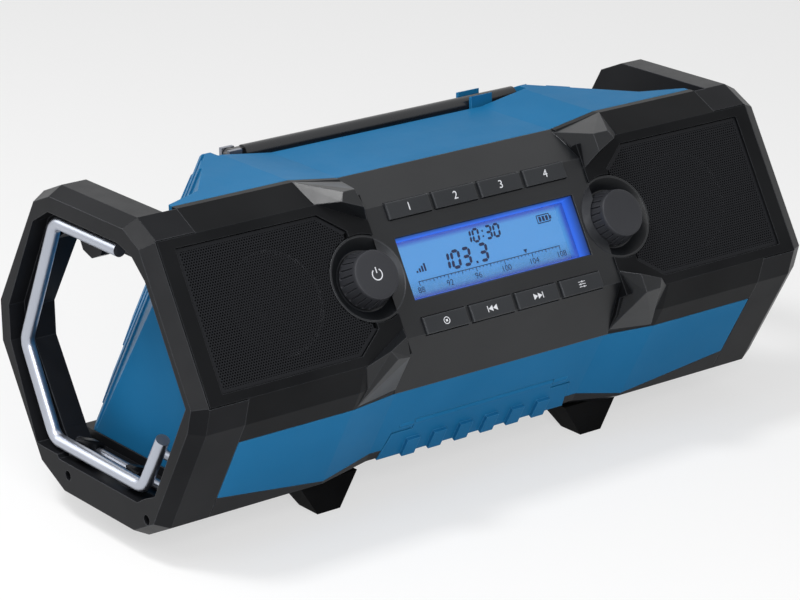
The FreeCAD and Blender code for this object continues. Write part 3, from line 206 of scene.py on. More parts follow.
def powder_coat(name, colour):
    """Powder-coated sheet steel: the coat's orange peel over a satin colour."""
    finish, tree, shader, place = new_material(name)
    peel = add(tree, "ShaderNodeTexNoise", {"Scale": 1 / PEEL_SIZE, "Detail": 2.0}, {"Vector": place})
    relief = add(tree, "ShaderNodeBump", {"Strength": 0.12, "Distance": PIT_DEPTH},
                 {"Height": peel.outputs["Fac"]})
    gloss = add(tree, "ShaderNodeMapRange", {"To Min": 0.32, "To Max": 0.5}, {"Value": peel.outputs["Fac"]})
    tint = add(tree, "ShaderNodeValToRGB", links={"Fac": peel.outputs["Fac"]})
    tint.color_ramp.elements[0].color = shaded(colour, 0.8)
    tint.color_ramp.elements[1].color = shaded(colour)
    tree.links.new(tint.outputs["Color"], shader.inputs["Base Color"])
    tree.links.new(gloss.outputs["Result"], shader.inputs["Roughness"])
    tree.links.new(relief.outputs["Normal"], shader.inputs["Normal"])
    shader.inputs["IOR"].default_value = PLASTIC_IOR
    shader.inputs["Specular IOR Level"].default_value = COAT_GLEAM
    return finish


def panel_distance(tree, place, direction):
    """How far a point is from the panel's middle along one of the panel's directions, without sign."""
    offset = add(tree, "ShaderNodeVectorMath", {"operation": "SUBTRACT", 1: PANEL_MIDDLE}, {0: place})
    along = add(tree, "ShaderNodeVectorMath", {"operation": "DOT_PRODUCT", 1: direction},
                {0: offset.outputs["Vector"]})
    size = add(tree, "ShaderNodeMath", {"operation": "ABSOLUTE"}, {0: along.outputs["Value"]})
    return size.outputs["Value"]


def screen_fade(tree, place, side_span, top_span):
    """0 inside the screen and 1 outside it, by way of a span of distances at its sides and its top."""
    side = add(tree, "ShaderNodeMapRange", {"From Min": side_span[0], "From Max": side_span[1]},
               {"Value": panel_distance(tree, place, PANEL_ACROSS)})
    top = add(tree, "ShaderNodeMapRange", {"From Min": top_span[0], "From Max": top_span[1]},
              {"Value": panel_distance(tree, place, PANEL_UP)})
    far = add(tree, "ShaderNodeMath", {"operation": "MAXIMUM"},
              {0: side.outputs["Result"], 1: top.outputs["Result"]})
    return far.outputs["Value"]


def backlit_screen(name, middle, edge):
    """Backlit liquid crystal: an even blue field that deepens within a few millimetres of its edge."""
    finish, tree, shader, place = new_material(name)
    fade = screen_fade(tree, place, (SCREEN_HALF.x - EDGE_SIDE, SCREEN_HALF.x),
                       (SCREEN_HALF.y - EDGE_TOP, SCREEN_HALF.y))
    ramp = add(tree, "ShaderNodeValToRGB", links={"Fac": fade})
    ramp.color_ramp.elements[0].color = shaded(middle)
    ramp.color_ramp.elements[0].position = 0.2
    ramp.color_ramp.elements[1].color = shaded(edge)
    crystal = add(tree, "ShaderNodeTexNoise", {"Scale": 1 / CRYSTAL_SIZE, "Detail": 1.0}, {"Vector": place})
    veil = add(tree, "ShaderNodeMapRange", {"To Min": 0.92, "To Max": 1.05},
               {"Value": crystal.outputs["Fac"]})
    lit = add(tree, "ShaderNodeVectorMath", {"operation": "SCALE"},
              {0: ramp.outputs["Color"], "Scale": veil.outputs["Result"]})
    tree.links.new(lit.outputs["Vector"], shader.inputs["Emission Color"])
    shader.inputs["Emission Strength"].default_value = 1.0
    shader.inputs["Base Color"].default_value = (0.01, 0.02, 0.05, 1)
    shader.inputs["Roughness"].default_value = 0.5
    return finish


def clear_cover(name):
    """Clear polycarbonate over the screen: polished, with a faint smear in its gloss."""
    finish, tree, shader, place = new_material(name)
    smear = add(tree, "ShaderNodeTexNoise", {"Scale": 1 / SMEAR_SIZE, "Detail": 4.0}, {"Vector": place})
    gloss = add(tree, "ShaderNodeMapRange", {"To Min": 0.01, "To Max": 0.06}, {"Value": smear.outputs["Fac"]})
    tree.links.new(gloss.outputs["Result"], shader.inputs["Roughness"])
    shader.inputs["Base Color"].default_value = (1, 1, 1, 1)
    shader.inputs["IOR"].default_value = POLYCARBONATE_IOR
    shader.inputs["Transmission Weight"].default_value = 1.0
    return finish


def painted_reflection_glow(name, colour):
    """Painted reflection of the backlit screen on the recess's glossy slopes: a blue glow that fades
    outwards, though nothing there gives light.
    """
    finish, tree, shader, place = new_material(name)
    far = screen_fade(tree, place, (SCREEN_HALF.x + RIM_FOOT, SCREEN_HALF.x + RIM_MOUTH),
                      (SCREEN_HALF.y + RIM_FOOT, SCREEN_HALF.y + RIM_MOUTH))
    fade = add(tree, "ShaderNodeValToRGB", links={"Fac": far})
    fade.color_ramp.elements[0].color = shaded(colour)
    fade.color_ramp.elements[1].color = shaded(colour, 0.04)
    tree.links.new(fade.outputs["Color"], shader.inputs["Emission Color"])
    shader.inputs["Emission Strength"].default_value = 1.0
    shader.inputs["Base Color"].default_value = (0.01, 0.012, 0.02, 1)
    shader.inputs["Roughness"].default_value = 0.35
    return finish


def printed(name, colour, rough=0.5):
    """Pad-printed ink: an opaque film with slightly uneven cover."""
    finish, tree, shader, place = new_material(name)
    cover = add(tree, "ShaderNodeTexNoise", {"Scale": 1 / INK_SIZE, "Detail": 2.0}, {"Vector": place})
    tint = add(tree, "ShaderNodeValToRGB", links={"Fac": cover.outputs["Fac"]})
    tint.color_ramp.elements[0].color = shaded(colour, 0.88)
    tint.color_ramp.elements[1].color = shaded(colour)
    tree.links.new(tint.outputs["Color"], shader.inputs["Base Color"])
    shader.inputs["Roughness"].default_value = rough
    return finish


def solder_mask(name, colour):
    """Circuit board: green lacquer over copper lands, which show as a faint grid."""
    finish, tree, shader, place = new_material(name)
    lands = add(tree, "ShaderNodeTexBrick",
                {"Scale": 1.0, "Brick Width": 3 * MM, "Row Height": 2 * MM, "Mortar Size": 0.25 * MM,
                 "Color1": shaded(colour), "Color2": shaded(colour, 1.3), "Mortar": shaded(colour, 0.5)},
                {"Vector": place})
    tree.links.new(lands.outputs["Color"], shader.inputs["Base Color"])
    shader.inputs["Roughness"].default_value = 0.3
    return finish


# Handling objects

def only(thing):
    """Selects one object and makes it active."""
    bpy.ops.object.select_all(action="DESELECT")
    thing.select_set(True)
    bpy.context.view_layer.objects.active = thing


def bake_place(thing, matrix):
    """Puts an object at a place and moves that place into its mesh."""
    only(thing)
    thing.matrix_world = matrix @ thing.matrix_world
    bpy.ops.object.transform_apply(location=True, rotation=True, scale=True)


def hand_over(thing, name, body, finish):
    """Names a finished piece, gives it its finish and lets it ride on its body."""
    thing.name = name
    thing.data.name = name
    thing.data.materials.clear()
    thing.data.materials.append(finish)
    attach(thing, body)
    return thing


def join(parts):
    """Joins several objects into the first."""
    bpy.ops.object.select_all(action="DESELECT")
    for part in parts:
        part.select_set(True)
    bpy.context.view_layer.objects.active = parts[0]
    bpy.ops.object.join()
    return bpy.context.view_layer.objects.active


def edit(thing):
    """Opens an object in edit mode with everything selected."""
    only(thing)
    bpy.ops.object.mode_set(mode="EDIT")
    bpy.ops.mesh.select_all(action="SELECT")


def leave_edit():
    """Closes edit mode."""
    bpy.ops.object.mode_set(mode="OBJECT")


def delete_faces(thing, wanted):
    """Deletes the faces that a test picks out by their place."""
    for face in thing.data.polygons:
        face.select = wanted(face)
    only(thing)
    bpy.ops.object.mode_set(mode="EDIT")
    bpy.ops.mesh.delete(type="FACE")
    leave_edit()


def apply_modifier(thing, kind, **settings):
    """Adds a modifier, sets it and applies it."""
    only(thing)
    made = thing.modifiers.new(kind.title(), kind)
    for key, value in settings.items():
        setattr(made, key, value)
    bpy.ops.object.modifier_apply(modifier=made.name)


def flat_shape(corners, lift=0.0):
    """A flat face with these corners, in the panel's own plane."""
    bpy.ops.mesh.primitive_circle_add(vertices=len(corners), radius=MM, fill_type="NGON")
    shape = bpy.context.object
    for vertex, (x, up) in zip(shape.data.vertices, corners):
        vertex.co = (x, up, lift)
    return shape


def slab(x, up, wide, tall):
    """A flat rectangle round a point."""
    return flat_shape([(x - wide / 2, up - tall / 2), (x + wide / 2, up - tall / 2),
                       (x + wide / 2, up + tall / 2), (x - wide / 2, up + tall / 2)])


def thicken(shape, depth):
    """Gives a flat shape a thickness downwards from its face."""
    apply_modifier(shape, "SOLIDIFY", thickness=depth, offset=-1)


# Grilles

GRILLE_TOP = -1.2 * MM
GRILLE_OUT = 178.1 * MM
GRILLE_IN = 97.3 * MM
GRILLE_NOSE = 83.3 * MM
GRILLE_MIDDLE = 130 * MM
GRILLE_HALF = 35.7 * MM
NOSE_HALF = 24.7 * MM
WELL_RADIUS = 22.3 * MM
SKIRT = 1.6 * MM
SHEET = 0.7 * MM
BORDER_LIFT = 0.02 * MM
BORDER_LAP = 0.2 * MM
SAME_POINT = 0.02 * MM
SPARE_CELLS = 2
PLACE_DIGITS = 6


def grille_outline(side, inset):
    """The grille window's six corners, drawn in by a distance."""
    corners = [(GRILLE_OUT - inset, GRILLE_HALF - inset), (GRILLE_IN + inset / 2, GRILLE_HALF - inset),
               (GRILLE_NOSE + inset, NOSE_HALF - inset / 3), (GRILLE_NOSE + inset, -NOSE_HALF + inset / 3),
               (GRILLE_IN + inset / 2, -GRILLE_HALF + inset), (GRILLE_OUT - inset, -GRILLE_HALF + inset)]
    turned = [(side * x, up) for x, up in corners]
    return turned[::side]


def clear_of_knob(sheet, side):
    """Takes away the part of a sheet that lies over the knob's well."""
    knob = Vector((side * KNOB_AT, 0, 0))
    delete_faces(sheet, lambda face: (face.center - knob).length < WELL_RADIUS)


def perforated_field(side, pitch, hole, margin):
    """Punched sheet: hexagon cells with a hole each, in staggered rows, trimmed to the window."""
    bpy.ops.mesh.primitive_circle_add(vertices=6, radius=pitch / math.sqrt(3), fill_type="NGON")
    field = bpy.context.object
    edit(field)
    bpy.ops.mesh.inset(thickness=(pitch - hole) / 2)
    bpy.ops.mesh.delete(type="FACE")
    leave_edit()
    row = pitch * math.sqrt(3) / 2
    across = math.ceil((GRILLE_OUT - GRILLE_NOSE) / pitch) + SPARE_CELLS
    rows = math.ceil(GRILLE_HALF / row) + SPARE_CELLS
    steps = ((across, (pitch, 0, 0)), (2, (pitch / 2, row, 0)), (rows, (0, 2 * row, 0)))
    for count, step in steps:
        apply_modifier(field, "ARRAY", count=count, use_relative_offset=False, use_constant_offset=True,
                       constant_offset_displace=step, use_merge_vertices=True, merge_threshold=SAME_POINT)
    start = Vector((GRILLE_NOSE - pitch if side > 0 else -GRILLE_OUT - pitch, -rows * row, 0))
    bake_place(field, Matrix.Translation(start))
    corners = grille_outline(side, margin)
    edit(field)
    for (x0, y0), (x1, y1) in zip(corners, corners[1:] + corners[:1]):
        outward = Vector((y1 - y0, x0 - x1, 0)).normalized()
        if outward.dot(Vector((x0 - side * GRILLE_MIDDLE, y0, 0))) < 0:
            outward = -outward
        bpy.ops.mesh.select_all(action="SELECT")
        bpy.ops.mesh.bisect(plane_co=(x0, y0, 0), plane_no=outward, clear_outer=True)
    bpy.ops.mesh.select_all(action="DESELECT")
    leave_edit()
    clear_of_knob(field, side)
    return field


def grille_border(side, margin):
    """The unpunched edge round the holes and the skirt folded back from it."""
    band = flat_shape(grille_outline(side, 0), lift=BORDER_LIFT)
    edit(band)
    bpy.ops.mesh.inset(thickness=margin)
    bpy.ops.mesh.delete(type="FACE")
    bpy.ops.mesh.select_all(action="DESELECT")
    leave_edit()
    rim = {tuple(round(c, PLACE_DIGITS) for c in corner) for corner in grille_outline(side, 0)}
    only(band)
    for edge in band.data.edges:
        ends = [band.data.vertices[i].co for i in edge.vertices]
        edge.select = all((round(p.x, PLACE_DIGITS), round(p.y, PLACE_DIGITS)) in rim for p in ends)
    bpy.context.tool_settings.mesh_select_mode = (False, True, False)
    bpy.ops.object.mode_set(mode="EDIT")
    bpy.ops.mesh.extrude_edges_move(TRANSFORM_OT_translate={"value": (0, 0, -SKIRT)})
    leave_edit()
    bpy.context.tool_settings.mesh_select_mode = (False, False, True)
    clear_of_knob(band, side)
    return band


class RADIO_OT_grilles(bpy.types.Operator):
    """Makes the two punched speaker grilles"""
    bl_idname = "radio.grilles"
    bl_label = "Speaker grilles"

    def execute(self, context):
        sizes = context.scene.radio_sizes
        coat_finish = powder_coat("Steel, punched and powder coated", linear("#1c1d20"))
        for side, name in ((-1, "left_grille"), (1, "right_grille")):
            field = perforated_field(side, sizes.grille_pitch, sizes.grille_hole, sizes.grille_margin)
            border = grille_border(side, sizes.grille_margin + BORDER_LAP)
            sheet = join([field, border])
            thicken(sheet, SHEET)
            bake_place(sheet, PANEL @ Matrix.Translation((0, 0, GRILLE_TOP)))
            hand_over(sheet, name + "_sheet", "radio", coat_finish)
            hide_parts(name)
        return {"FINISHED"}


# Saddles of the hook

SADDLE_FACE = -191.5 * MM
SADDLE_DOUBLES = 0.01 * MM


class RADIO_OT_saddles(bpy.types.Operator):
    """Makes the saddles' snap-in mouths, open on the outer side so that the rod shows unbroken"""
    bl_idname = "radio.saddles"
    bl_label = "Hook saddles"

    def execute(self, context):
        only(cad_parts["hook_saddles"])
        bpy.ops.object.duplicate()
        saddles = bpy.context.object
        edit(saddles)
        bpy.ops.mesh.remove_doubles(threshold=SADDLE_DOUBLES)
        bpy.ops.mesh.bisect(plane_co=(SADDLE_FACE, 0, 0), plane_no=(-1, 0, 0), clear_outer=True,
                            use_fill=True)
        leave_edit()
        # Tough nylon: dull black, with lips painted a little paler, partly as wear from the rod and partly as
        # a painted highlight
        nylon = moulded("Nylon, snap-in saddles", linear("#141518"), rough=0.4, gleam=0.1,
                        edge_wear_and_highlight=linear("#3a3c40"))
        hand_over(saddles, "hook_saddles_open", "radio", nylon)
        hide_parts("hook_saddles")
        return {"FINISHED"}


# Knobs and key caps

KNOB_FOOT = -5.2 * MM
KNOB_BASE_RADIUS = 14.7 * MM
KNOB_TOP_RADIUS = 12.8 * MM
KNOB_GROOVES = 24
STEPS_PER_GROOVE = 4
KNOB_RIM = 0.8 * MM
KNOB_SHOULDER = 3.2 * MM
# Rings of the knob's rounded face, each a rise and a factor on its width
KNOB_CROWN = ((1.5 * MM, 0.985), (0.6 * MM, 0.965), (0.3 * MM, 0.93), (0, 0.9))
GROOVE_STOP = 3 * MM
GROOVE_EDGE = 0.12 * MM
GROOVE_DEPTH = 0.9 * MM
UPRIGHT = 0.5
KNOB_SMOOTH = math.radians(30)
KEY_LONG = 26.5 * MM
KEY_TALL = 8.6 * MM
KEY_FOOT = -5.3 * MM
KEY_CROWN = 0.5 * MM
# Steps of a cap's rounded top, each a width and a rise
KEY_STEPS = ((0.25 * MM, 0.35 * MM), (0.6 * MM, 0.15 * MM))


def raise_rings(steps):
    """Draws the selected face up through rings, each a rise and a factor on its width."""
    for rise, factor in steps:
        bpy.ops.mesh.extrude_region_move(TRANSFORM_OT_translate={"value": (0, 0, rise)})
        bpy.ops.transform.resize(value=(factor, factor, 1))


class RADIO_OT_knobs(bpy.types.Operator):
    """Makes the two flared knobs with grooved sides and a smooth rounded face"""
    bl_idname = "radio.knobs"
    bl_label = "Knobs"

    def execute(self, context):
        # Soft elastomer over a hard core: a dull black whose groove edges catch the light on rounded normals
        # and are painted paler, partly as wear and partly as a painted highlight
        grip = moulded("Elastomer over ABS, knobs", linear("#2b2c30"), rough=0.38, bump=0.06, gleam=0.2,
                       edge_wear_and_highlight=linear("#606268"))
        for side, name in ((-1, "volume_knob"), (1, "tune_knob")):
            knob = self.turned_body()
            self.cut_grooves(knob)
            bake_place(knob, PANEL @ Matrix.Translation((side * KNOB_AT, 0, KNOB_FOOT)))
            only(knob)
            bpy.ops.object.shade_smooth_by_angle(angle=KNOB_SMOOTH)
            hand_over(knob, name + "_grip", name, grip)
            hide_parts(name)
        return {"FINISHED"}

    def turned_body(self):
        """A knob without its grooves: a rim, a flared side and a rounded face."""
        bpy.ops.mesh.primitive_circle_add(vertices=KNOB_GROOVES * STEPS_PER_GROOVE, radius=KNOB_BASE_RADIUS,
                                          fill_type="NGON")
        knob = bpy.context.object
        side_rise = KNOB_FACE - KNOB_FOOT - KNOB_SHOULDER
        edit(knob)
        raise_rings([(KNOB_RIM, 1.0), (side_rise, KNOB_TOP_RADIUS / KNOB_BASE_RADIUS), *KNOB_CROWN])
        leave_edit()
        return knob

    def cut_grooves(self, knob):
        """Sinks every fourth face of the knob's side."""
        around = KNOB_GROOVES * STEPS_PER_GROOVE
        stop = KNOB_FACE - KNOB_FOOT - GROOVE_STOP
        for face in knob.data.polygons:
            turn = math.atan2(face.center.y, face.center.x) / math.tau * around
            on_side = KNOB_RIM < face.center.z < stop and abs(face.normal.z) < UPRIGHT
            face.select = on_side and int(turn + around) % STEPS_PER_GROOVE == 0
        only(knob)
        bpy.ops.object.mode_set(mode="EDIT")
        bpy.ops.mesh.inset(thickness=GROOVE_EDGE, depth=-GROOVE_DEPTH, use_individual=True)
        leave_edit()


class RADIO_OT_keys(bpy.types.Operator):
    """Makes the eight key caps with rounded, slightly crowned tops"""
    bl_idname = "radio.keys"
    bl_label = "Key caps"

    def execute(self, context):
        # ABS polished by fingers: a finer grain than the panel's, with pale edges, partly wear and partly a
        # painted highlight
        cap_finish = moulded("ABS, key caps", linear("#26282b"), grain=0.25, rough=0.38, gleam=0.2,
                             edge_wear_and_highlight=linear("#6a6c70"))
        for row, names in KEY_ROWS.items():
            for column, name in enumerate(names):
                cap = self.cap()
                place = ((column - MIDDLE_COLUMN) * KEY_PITCH, row * KEY_ROW, KEY_FOOT)
                bake_place(cap, PANEL @ Matrix.Translation(place))
                hand_over(cap, name + "_cap", name, cap_finish)
                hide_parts(name)
        return {"FINISHED"}

    def cap(self):
        """One key cap, standing on the panel's plane."""
        bpy.ops.mesh.primitive_plane_add(size=1)
        cap = bpy.context.object
        cap.scale = (KEY_LONG, KEY_TALL, 1)
        bpy.ops.object.transform_apply(location=False, rotation=False, scale=True)
        edit(cap)
        rise = KEY_FACE - KEY_FOOT - KEY_CROWN
        bpy.ops.mesh.extrude_region_move(TRANSFORM_OT_translate={"value": (0, 0, rise)})
        for width, step in KEY_STEPS:
            bpy.ops.mesh.inset(thickness=width, depth=step)
        leave_edit()
        return cap


# Prints on keys and knobs

INK_FILM = 0.04 * MM
INK_GAP = 0.05 * MM
FIGURE_SHARE = 0.72
RING_STEPS = 40
POWER_RADIUS = 3.1 * MM
POWER_LINE = 0.55 * MM
POWER_GAP = 0.6
POWER_BAR = (2.2 * MM, 0.6 * MM, 3 * MM)
LINK_RADIUS = 1.9 * MM
LINK_LINE = 0.4 * MM
LINK_DOT = 1.2 * MM
ARROW = 2.6 * MM
ARROW_OUT = 1.4 * MM
STOP_OUT = 3.1 * MM
STOP_LINE = 0.5 * MM
STOP_TALL = 3.2 * MM
# The menu sign's three lines, each a height and where its slider stands
SLIDERS = ((-1.3 * MM, 0.9 * MM), (0, -1 * MM), (1.3 * MM, 0.2 * MM))
SLIDER_LINE = (4.4 * MM, 0.3 * MM)
SLIDER_KNOB = (0.7 * MM, 0.9 * MM)


def figure(words, x, up, height):
    """Plain figures, as a mesh in the panel's plane, centred on a point."""
    bpy.ops.object.text_add()
    text = bpy.context.object
    text.data.body = words
    text.data.size = height / FIGURE_SHARE
    text.data.align_x = "CENTER"
    text.data.align_y = "CENTER"
    bpy.ops.object.convert(target="MESH")
    text = bpy.context.object
    bake_place(text, Matrix.Translation((x, up, 0)))
    return text


def triangle(x, up, way):
    """A solid triangle that points right for a way of 1 and left for -1."""
    corners = [(x - way * ARROW * 0.5, up - ARROW * 0.6), (x + way * ARROW * 0.5, up),
               (x - way * ARROW * 0.5, up + ARROW * 0.6)]
    return flat_shape(corners[::way])


def ring_mark(x, up, radius, width, gap=0.0):
    """A ring round a point, with an open stretch at its top."""
    bpy.ops.mesh.primitive_circle_add(vertices=RING_STEPS, radius=radius, fill_type="NGON",
                                      location=(x, up, 0))
    ring = bpy.context.object
    bake_place(ring, Matrix.Identity(4))
    edit(ring)
    bpy.ops.mesh.inset(thickness=width)
    bpy.ops.mesh.delete(type="FACE")
    leave_edit()
    delete_faces(ring, lambda face: abs(math.atan2(face.center.x - x, face.center.y - up)) < gap)
    return ring


def place_print(parts, name, body, ink, out):
    """Joins a print's shapes, gives them an ink's thickness and lays them on a face."""
    mark = join(parts) if len(parts) > 1 else parts[0]
    thicken(mark, INK_FILM)
    bake_place(mark, PANEL @ Matrix.Translation((0, 0, out + INK_GAP)))
    return hand_over(mark, name, body, ink)


class RADIO_OT_prints(bpy.types.Operator):
    """Prints plain figures and signs on the keys and the volume knob"""
    bl_idname = "radio.prints"
    bl_label = "Key and knob prints"

    def execute(self, context):
        ink = printed("Ink, pad printed", linear("#d9dbe0"))
        tall = context.scene.radio_sizes.print_height
        signs = (self.sign_link, self.sign_back, self.sign_ahead, self.sign_menu)
        for column, name in enumerate(KEY_ROWS[1]):
            x = (column - MIDDLE_COLUMN) * KEY_PITCH
            place_print([figure(str(column + 1), x, KEY_ROW, tall)], name + "_print", name,
                        ink, KEY_FACE)
        for column, (name, sign) in enumerate(zip(KEY_ROWS[-1], signs)):
            x = (column - MIDDLE_COLUMN) * KEY_PITCH
            place_print(sign(x, -KEY_ROW), name + "_print", name, ink, KEY_FACE)
        up, wide, long = POWER_BAR
        power = [ring_mark(-KNOB_AT, 0, POWER_RADIUS, POWER_LINE, gap=POWER_GAP),
                 slab(-KNOB_AT, up, wide, long)]
        place_print(power, "volume_knob_print", "volume_knob", ink, KNOB_FACE)
        return {"FINISHED"}

    def sign_link(self, x, up):
        """A dot in a ring."""
        return [ring_mark(x, up, LINK_RADIUS, LINK_LINE), slab(x, up, LINK_DOT, LINK_DOT)]

    def sign_back(self, x, up):
        """A bar and two triangles pointing left."""
        return [slab(x - STOP_OUT, up, STOP_LINE, STOP_TALL), triangle(x - ARROW_OUT, up, -1),
                triangle(x + ARROW_OUT, up, -1)]

    def sign_ahead(self, x, up):
        """Two triangles pointing right and a bar."""
        return [triangle(x - ARROW_OUT, up, 1), triangle(x + ARROW_OUT, up, 1),
                slab(x + STOP_OUT, up, STOP_LINE, STOP_TALL)]

    def sign_menu(self, x, up):
        """Three lines, each with a slider on it."""
        parts = []
        for height, slider in SLIDERS:
            parts.append(slab(x, up + height, *SLIDER_LINE))
            parts.append(slab(x + slider, up + height, *SLIDER_KNOB))
        return parts


# The screen's figures and a rim that glows with a painted reflection of the screen

SEGMENTS = {
    "top": (0, 1, False), "middle": (0, 0, False), "bottom": (0, -1, False),
    "upper_left": (-0.5, 0.5, True), "upper_right": (0.5, 0.5, True),
    "lower_left": (-0.5, -0.5, True), "lower_right": (0.5, -0.5, True),
}
DIGITS = {
    "0": ("top", "bottom", "upper_left", "upper_right", "lower_left", "lower_right"),
    "1": ("upper_right", "lower_right"),
    "3": ("top", "middle", "bottom", "upper_right", "lower_right"),
}
# A figure's measures, as shares of its height
SEGMENT_LONG = 0.47
SEGMENT_SLIM = 0.1
SEGMENT_OUT = 0.52
FIGURE_LEAN = 0.06
SEGMENT_LEAN = 0.12
FIGURE_STEP = 0.82
POINT_STEP = 0.5
POINT_SIZE = 0.15
POINT_BACK = 0.1
COLON_HALF = 0.22

CLOCK = ("10:30", -8 * MM, 9 * MM, 6.2 * MM)
STATION = ("103.3", -26 * MM, -0.2 * MM, 8.2 * MM)
BATTERY_AT = (41 * MM, 9 * MM)
BATTERY_LONG = 8 * MM
BATTERY_TALL = 4 * MM
BATTERY_LINE = 0.5 * MM
BATTERY_TIP = (0.7 * MM, 0.9 * MM, 1.8 * MM)
BATTERY_BAR = (2.2 * MM, 1.5 * MM, 2.6 * MM)
SIGNAL_AT = (-44 * MM, -2.2 * MM)
SIGNAL_STEP = 1.7 * MM
SIGNAL_BAR = (1.1 * MM, 1 * MM)
SCALE_UP = -6.6 * MM
SCALE_STEP = 2.25 * MM
SCALE_LONG = 40.4
SCALE_LINE = 0.4 * MM
SCALE_TICKS = 41
# Ticks that repeat this often have this height
LONG_TICK = (8, 2.2 * MM)
HALF_TICK = (4, 1.5 * MM)
SHORT_TICK = 0.9 * MM
SCALE_NUMBERS = ("88", "92", "96", "100", "104", "108")
NUMBERS_UNDER = 4.4 * MM
NUMBER_TALL = 3.1 * MM
POINTER_AT = 10.5
POINTER_LOW = 0.4 * MM
POINTER_HIGH = 2.6 * MM
POINTER_HALF = 1.2 * MM
RIM_LOW = -9.5 * MM
RIM_HIGH = -2 * MM
RIM_WALL = 0.3 * MM


def digit(sign, x, up, tall):
    """One figure of the clock, made of slim six-sided segments that lean a little."""
    parts = []
    long = tall * SEGMENT_LONG
    slim = tall * SEGMENT_SLIM
    for word in DIGITS[sign]:
        across, height, upright = SEGMENTS[word]
        middle_x = x + across * tall * SEGMENT_OUT + height * tall * FIGURE_LEAN
        middle_up = up + height * tall / 2
        reach = [(-long / 2, 0), (-long / 2 + slim, -slim), (long / 2 - slim, -slim), (long / 2, 0),
                 (long / 2 - slim, slim), (-long / 2 + slim, slim)]
        if upright:
            reach = [(a * SEGMENT_LEAN - b, a) for a, b in reach]
        parts.append(flat_shape([(middle_x + a, middle_up + b) for a, b in reach]))
    return parts


def number_row(signs, x, up, tall):
    """A row of segment figures, with points and colons between them."""
    parts = []
    dot = tall * POINT_SIZE
    for sign in signs:
        if sign in ":.":
            heights = (tall * COLON_HALF, -tall * COLON_HALF) if sign == ":" else (-tall / 2,)
            parts += [slab(x - tall * POINT_BACK + height * SEGMENT_LEAN, up + height, dot, dot)
                      for height in heights]
            x += tall * POINT_STEP
        else:
            parts += digit(sign, x, up, tall)
            x += tall * FIGURE_STEP
    return parts


class RADIO_OT_screen(bpy.types.Operator):
    """Draws the screen's clock, signal, battery and tuning scale, and a glowing rim that paints the screen's
    reflection on the recess's slopes
    """
    bl_idname = "radio.screen"
    bl_label = "Screen"

    def execute(self, context):
        dark = printed("Liquid crystal, driven dark", linear("#0c1a45"), rough=0.4)
        parts = number_row(*CLOCK) + number_row(*STATION) + self.battery(*BATTERY_AT)
        parts += self.signal(*SIGNAL_AT) + self.scale(SCALE_UP)
        place_print(parts, "screen_figures", "radio", dark, SCREEN_FACE)
        self.lay_painted_reflection()
        return {"FINISHED"}

    def battery(self, x, up):
        """A battery's outline with three bars in it."""
        side = BATTERY_LONG / 2
        half = BATTERY_TALL / 2
        tip_out, tip_wide, tip_tall = BATTERY_TIP
        bar_step, bar_wide, bar_tall = BATTERY_BAR
        parts = [slab(x, up + half, BATTERY_LONG, BATTERY_LINE),
                 slab(x, up - half, BATTERY_LONG, BATTERY_LINE),
                 slab(x - side, up, BATTERY_LINE, BATTERY_TALL),
                 slab(x + side, up, BATTERY_LINE, BATTERY_TALL),
                 slab(x + side + tip_out, up, tip_wide, tip_tall)]
        parts += [slab(x + i * bar_step, up, bar_wide, bar_tall) for i in (-1, 0, 1)]
        return parts

    def signal(self, x, low):
        """Four bars of rising height, on one line."""
        wide, rise = SIGNAL_BAR
        return [slab(x + i * SIGNAL_STEP, low + (i + 1) * rise / 2, wide, (i + 1) * rise) for i in range(4)]

    def scale(self, up):
        """A tuning scale: ticks with plain numbers under them and a pointer."""
        parts = [slab(0, up, SCALE_LONG * SCALE_STEP, SCALE_LINE)]
        middle = SCALE_TICKS // 2
        for i in range(SCALE_TICKS):
            tall = SHORT_TICK
            for every, height in (HALF_TICK, LONG_TICK):
                tall = height if i % every == 0 else tall
            parts.append(slab((i - middle) * SCALE_STEP, up - tall / 2, SCALE_LINE, tall))
        for i, number in enumerate(SCALE_NUMBERS):
            x = (i * LONG_TICK[0] - middle) * SCALE_STEP
            parts.append(figure(number, x, up - NUMBERS_UNDER, NUMBER_TALL))
        pointer = POINTER_AT * SCALE_STEP
        parts.append(flat_shape([(pointer, up + POINTER_LOW), (pointer + POINTER_HALF, up + POINTER_HIGH),
                                 (pointer - POINTER_HALF, up + POINTER_HIGH)]))
        return parts

    def lay_painted_reflection(self):
        """A glowing rim on the recess's slopes that paints the screen's reflection there."""
        rim = slab(0, 0, 2 * (SCREEN_HALF.x + RIM_MOUTH), 2 * (SCREEN_HALF.y + RIM_MOUTH))
        edit(rim)
        bpy.ops.mesh.inset(thickness=RIM_MOUTH - RIM_FOOT)
        bpy.ops.mesh.delete(type="FACE")
        leave_edit()
        half_way = SCREEN_HALF.x + (RIM_MOUTH + RIM_FOOT) / 2
        for vertex in rim.data.vertices:
            vertex.co.z = RIM_HIGH if abs(vertex.co.x) > half_way else RIM_LOW
        apply_modifier(rim, "SOLIDIFY", thickness=RIM_WALL, offset=1)
        bake_place(rim, PANEL)
        hand_over(rim, "screen_painted_reflection", "radio",
                  painted_reflection_glow("Emission, painted reflection of the screen", linear("#2f66e0")))


# Finishes of the CAD pieces

NODE_SMOOTH = math.radians(28)


def coat(nodes, finish):
    """Gives CAD nodes a finish."""
    for name in nodes:
        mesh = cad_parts[name].data
        mesh.materials.clear()
        mesh.materials.append(finish)


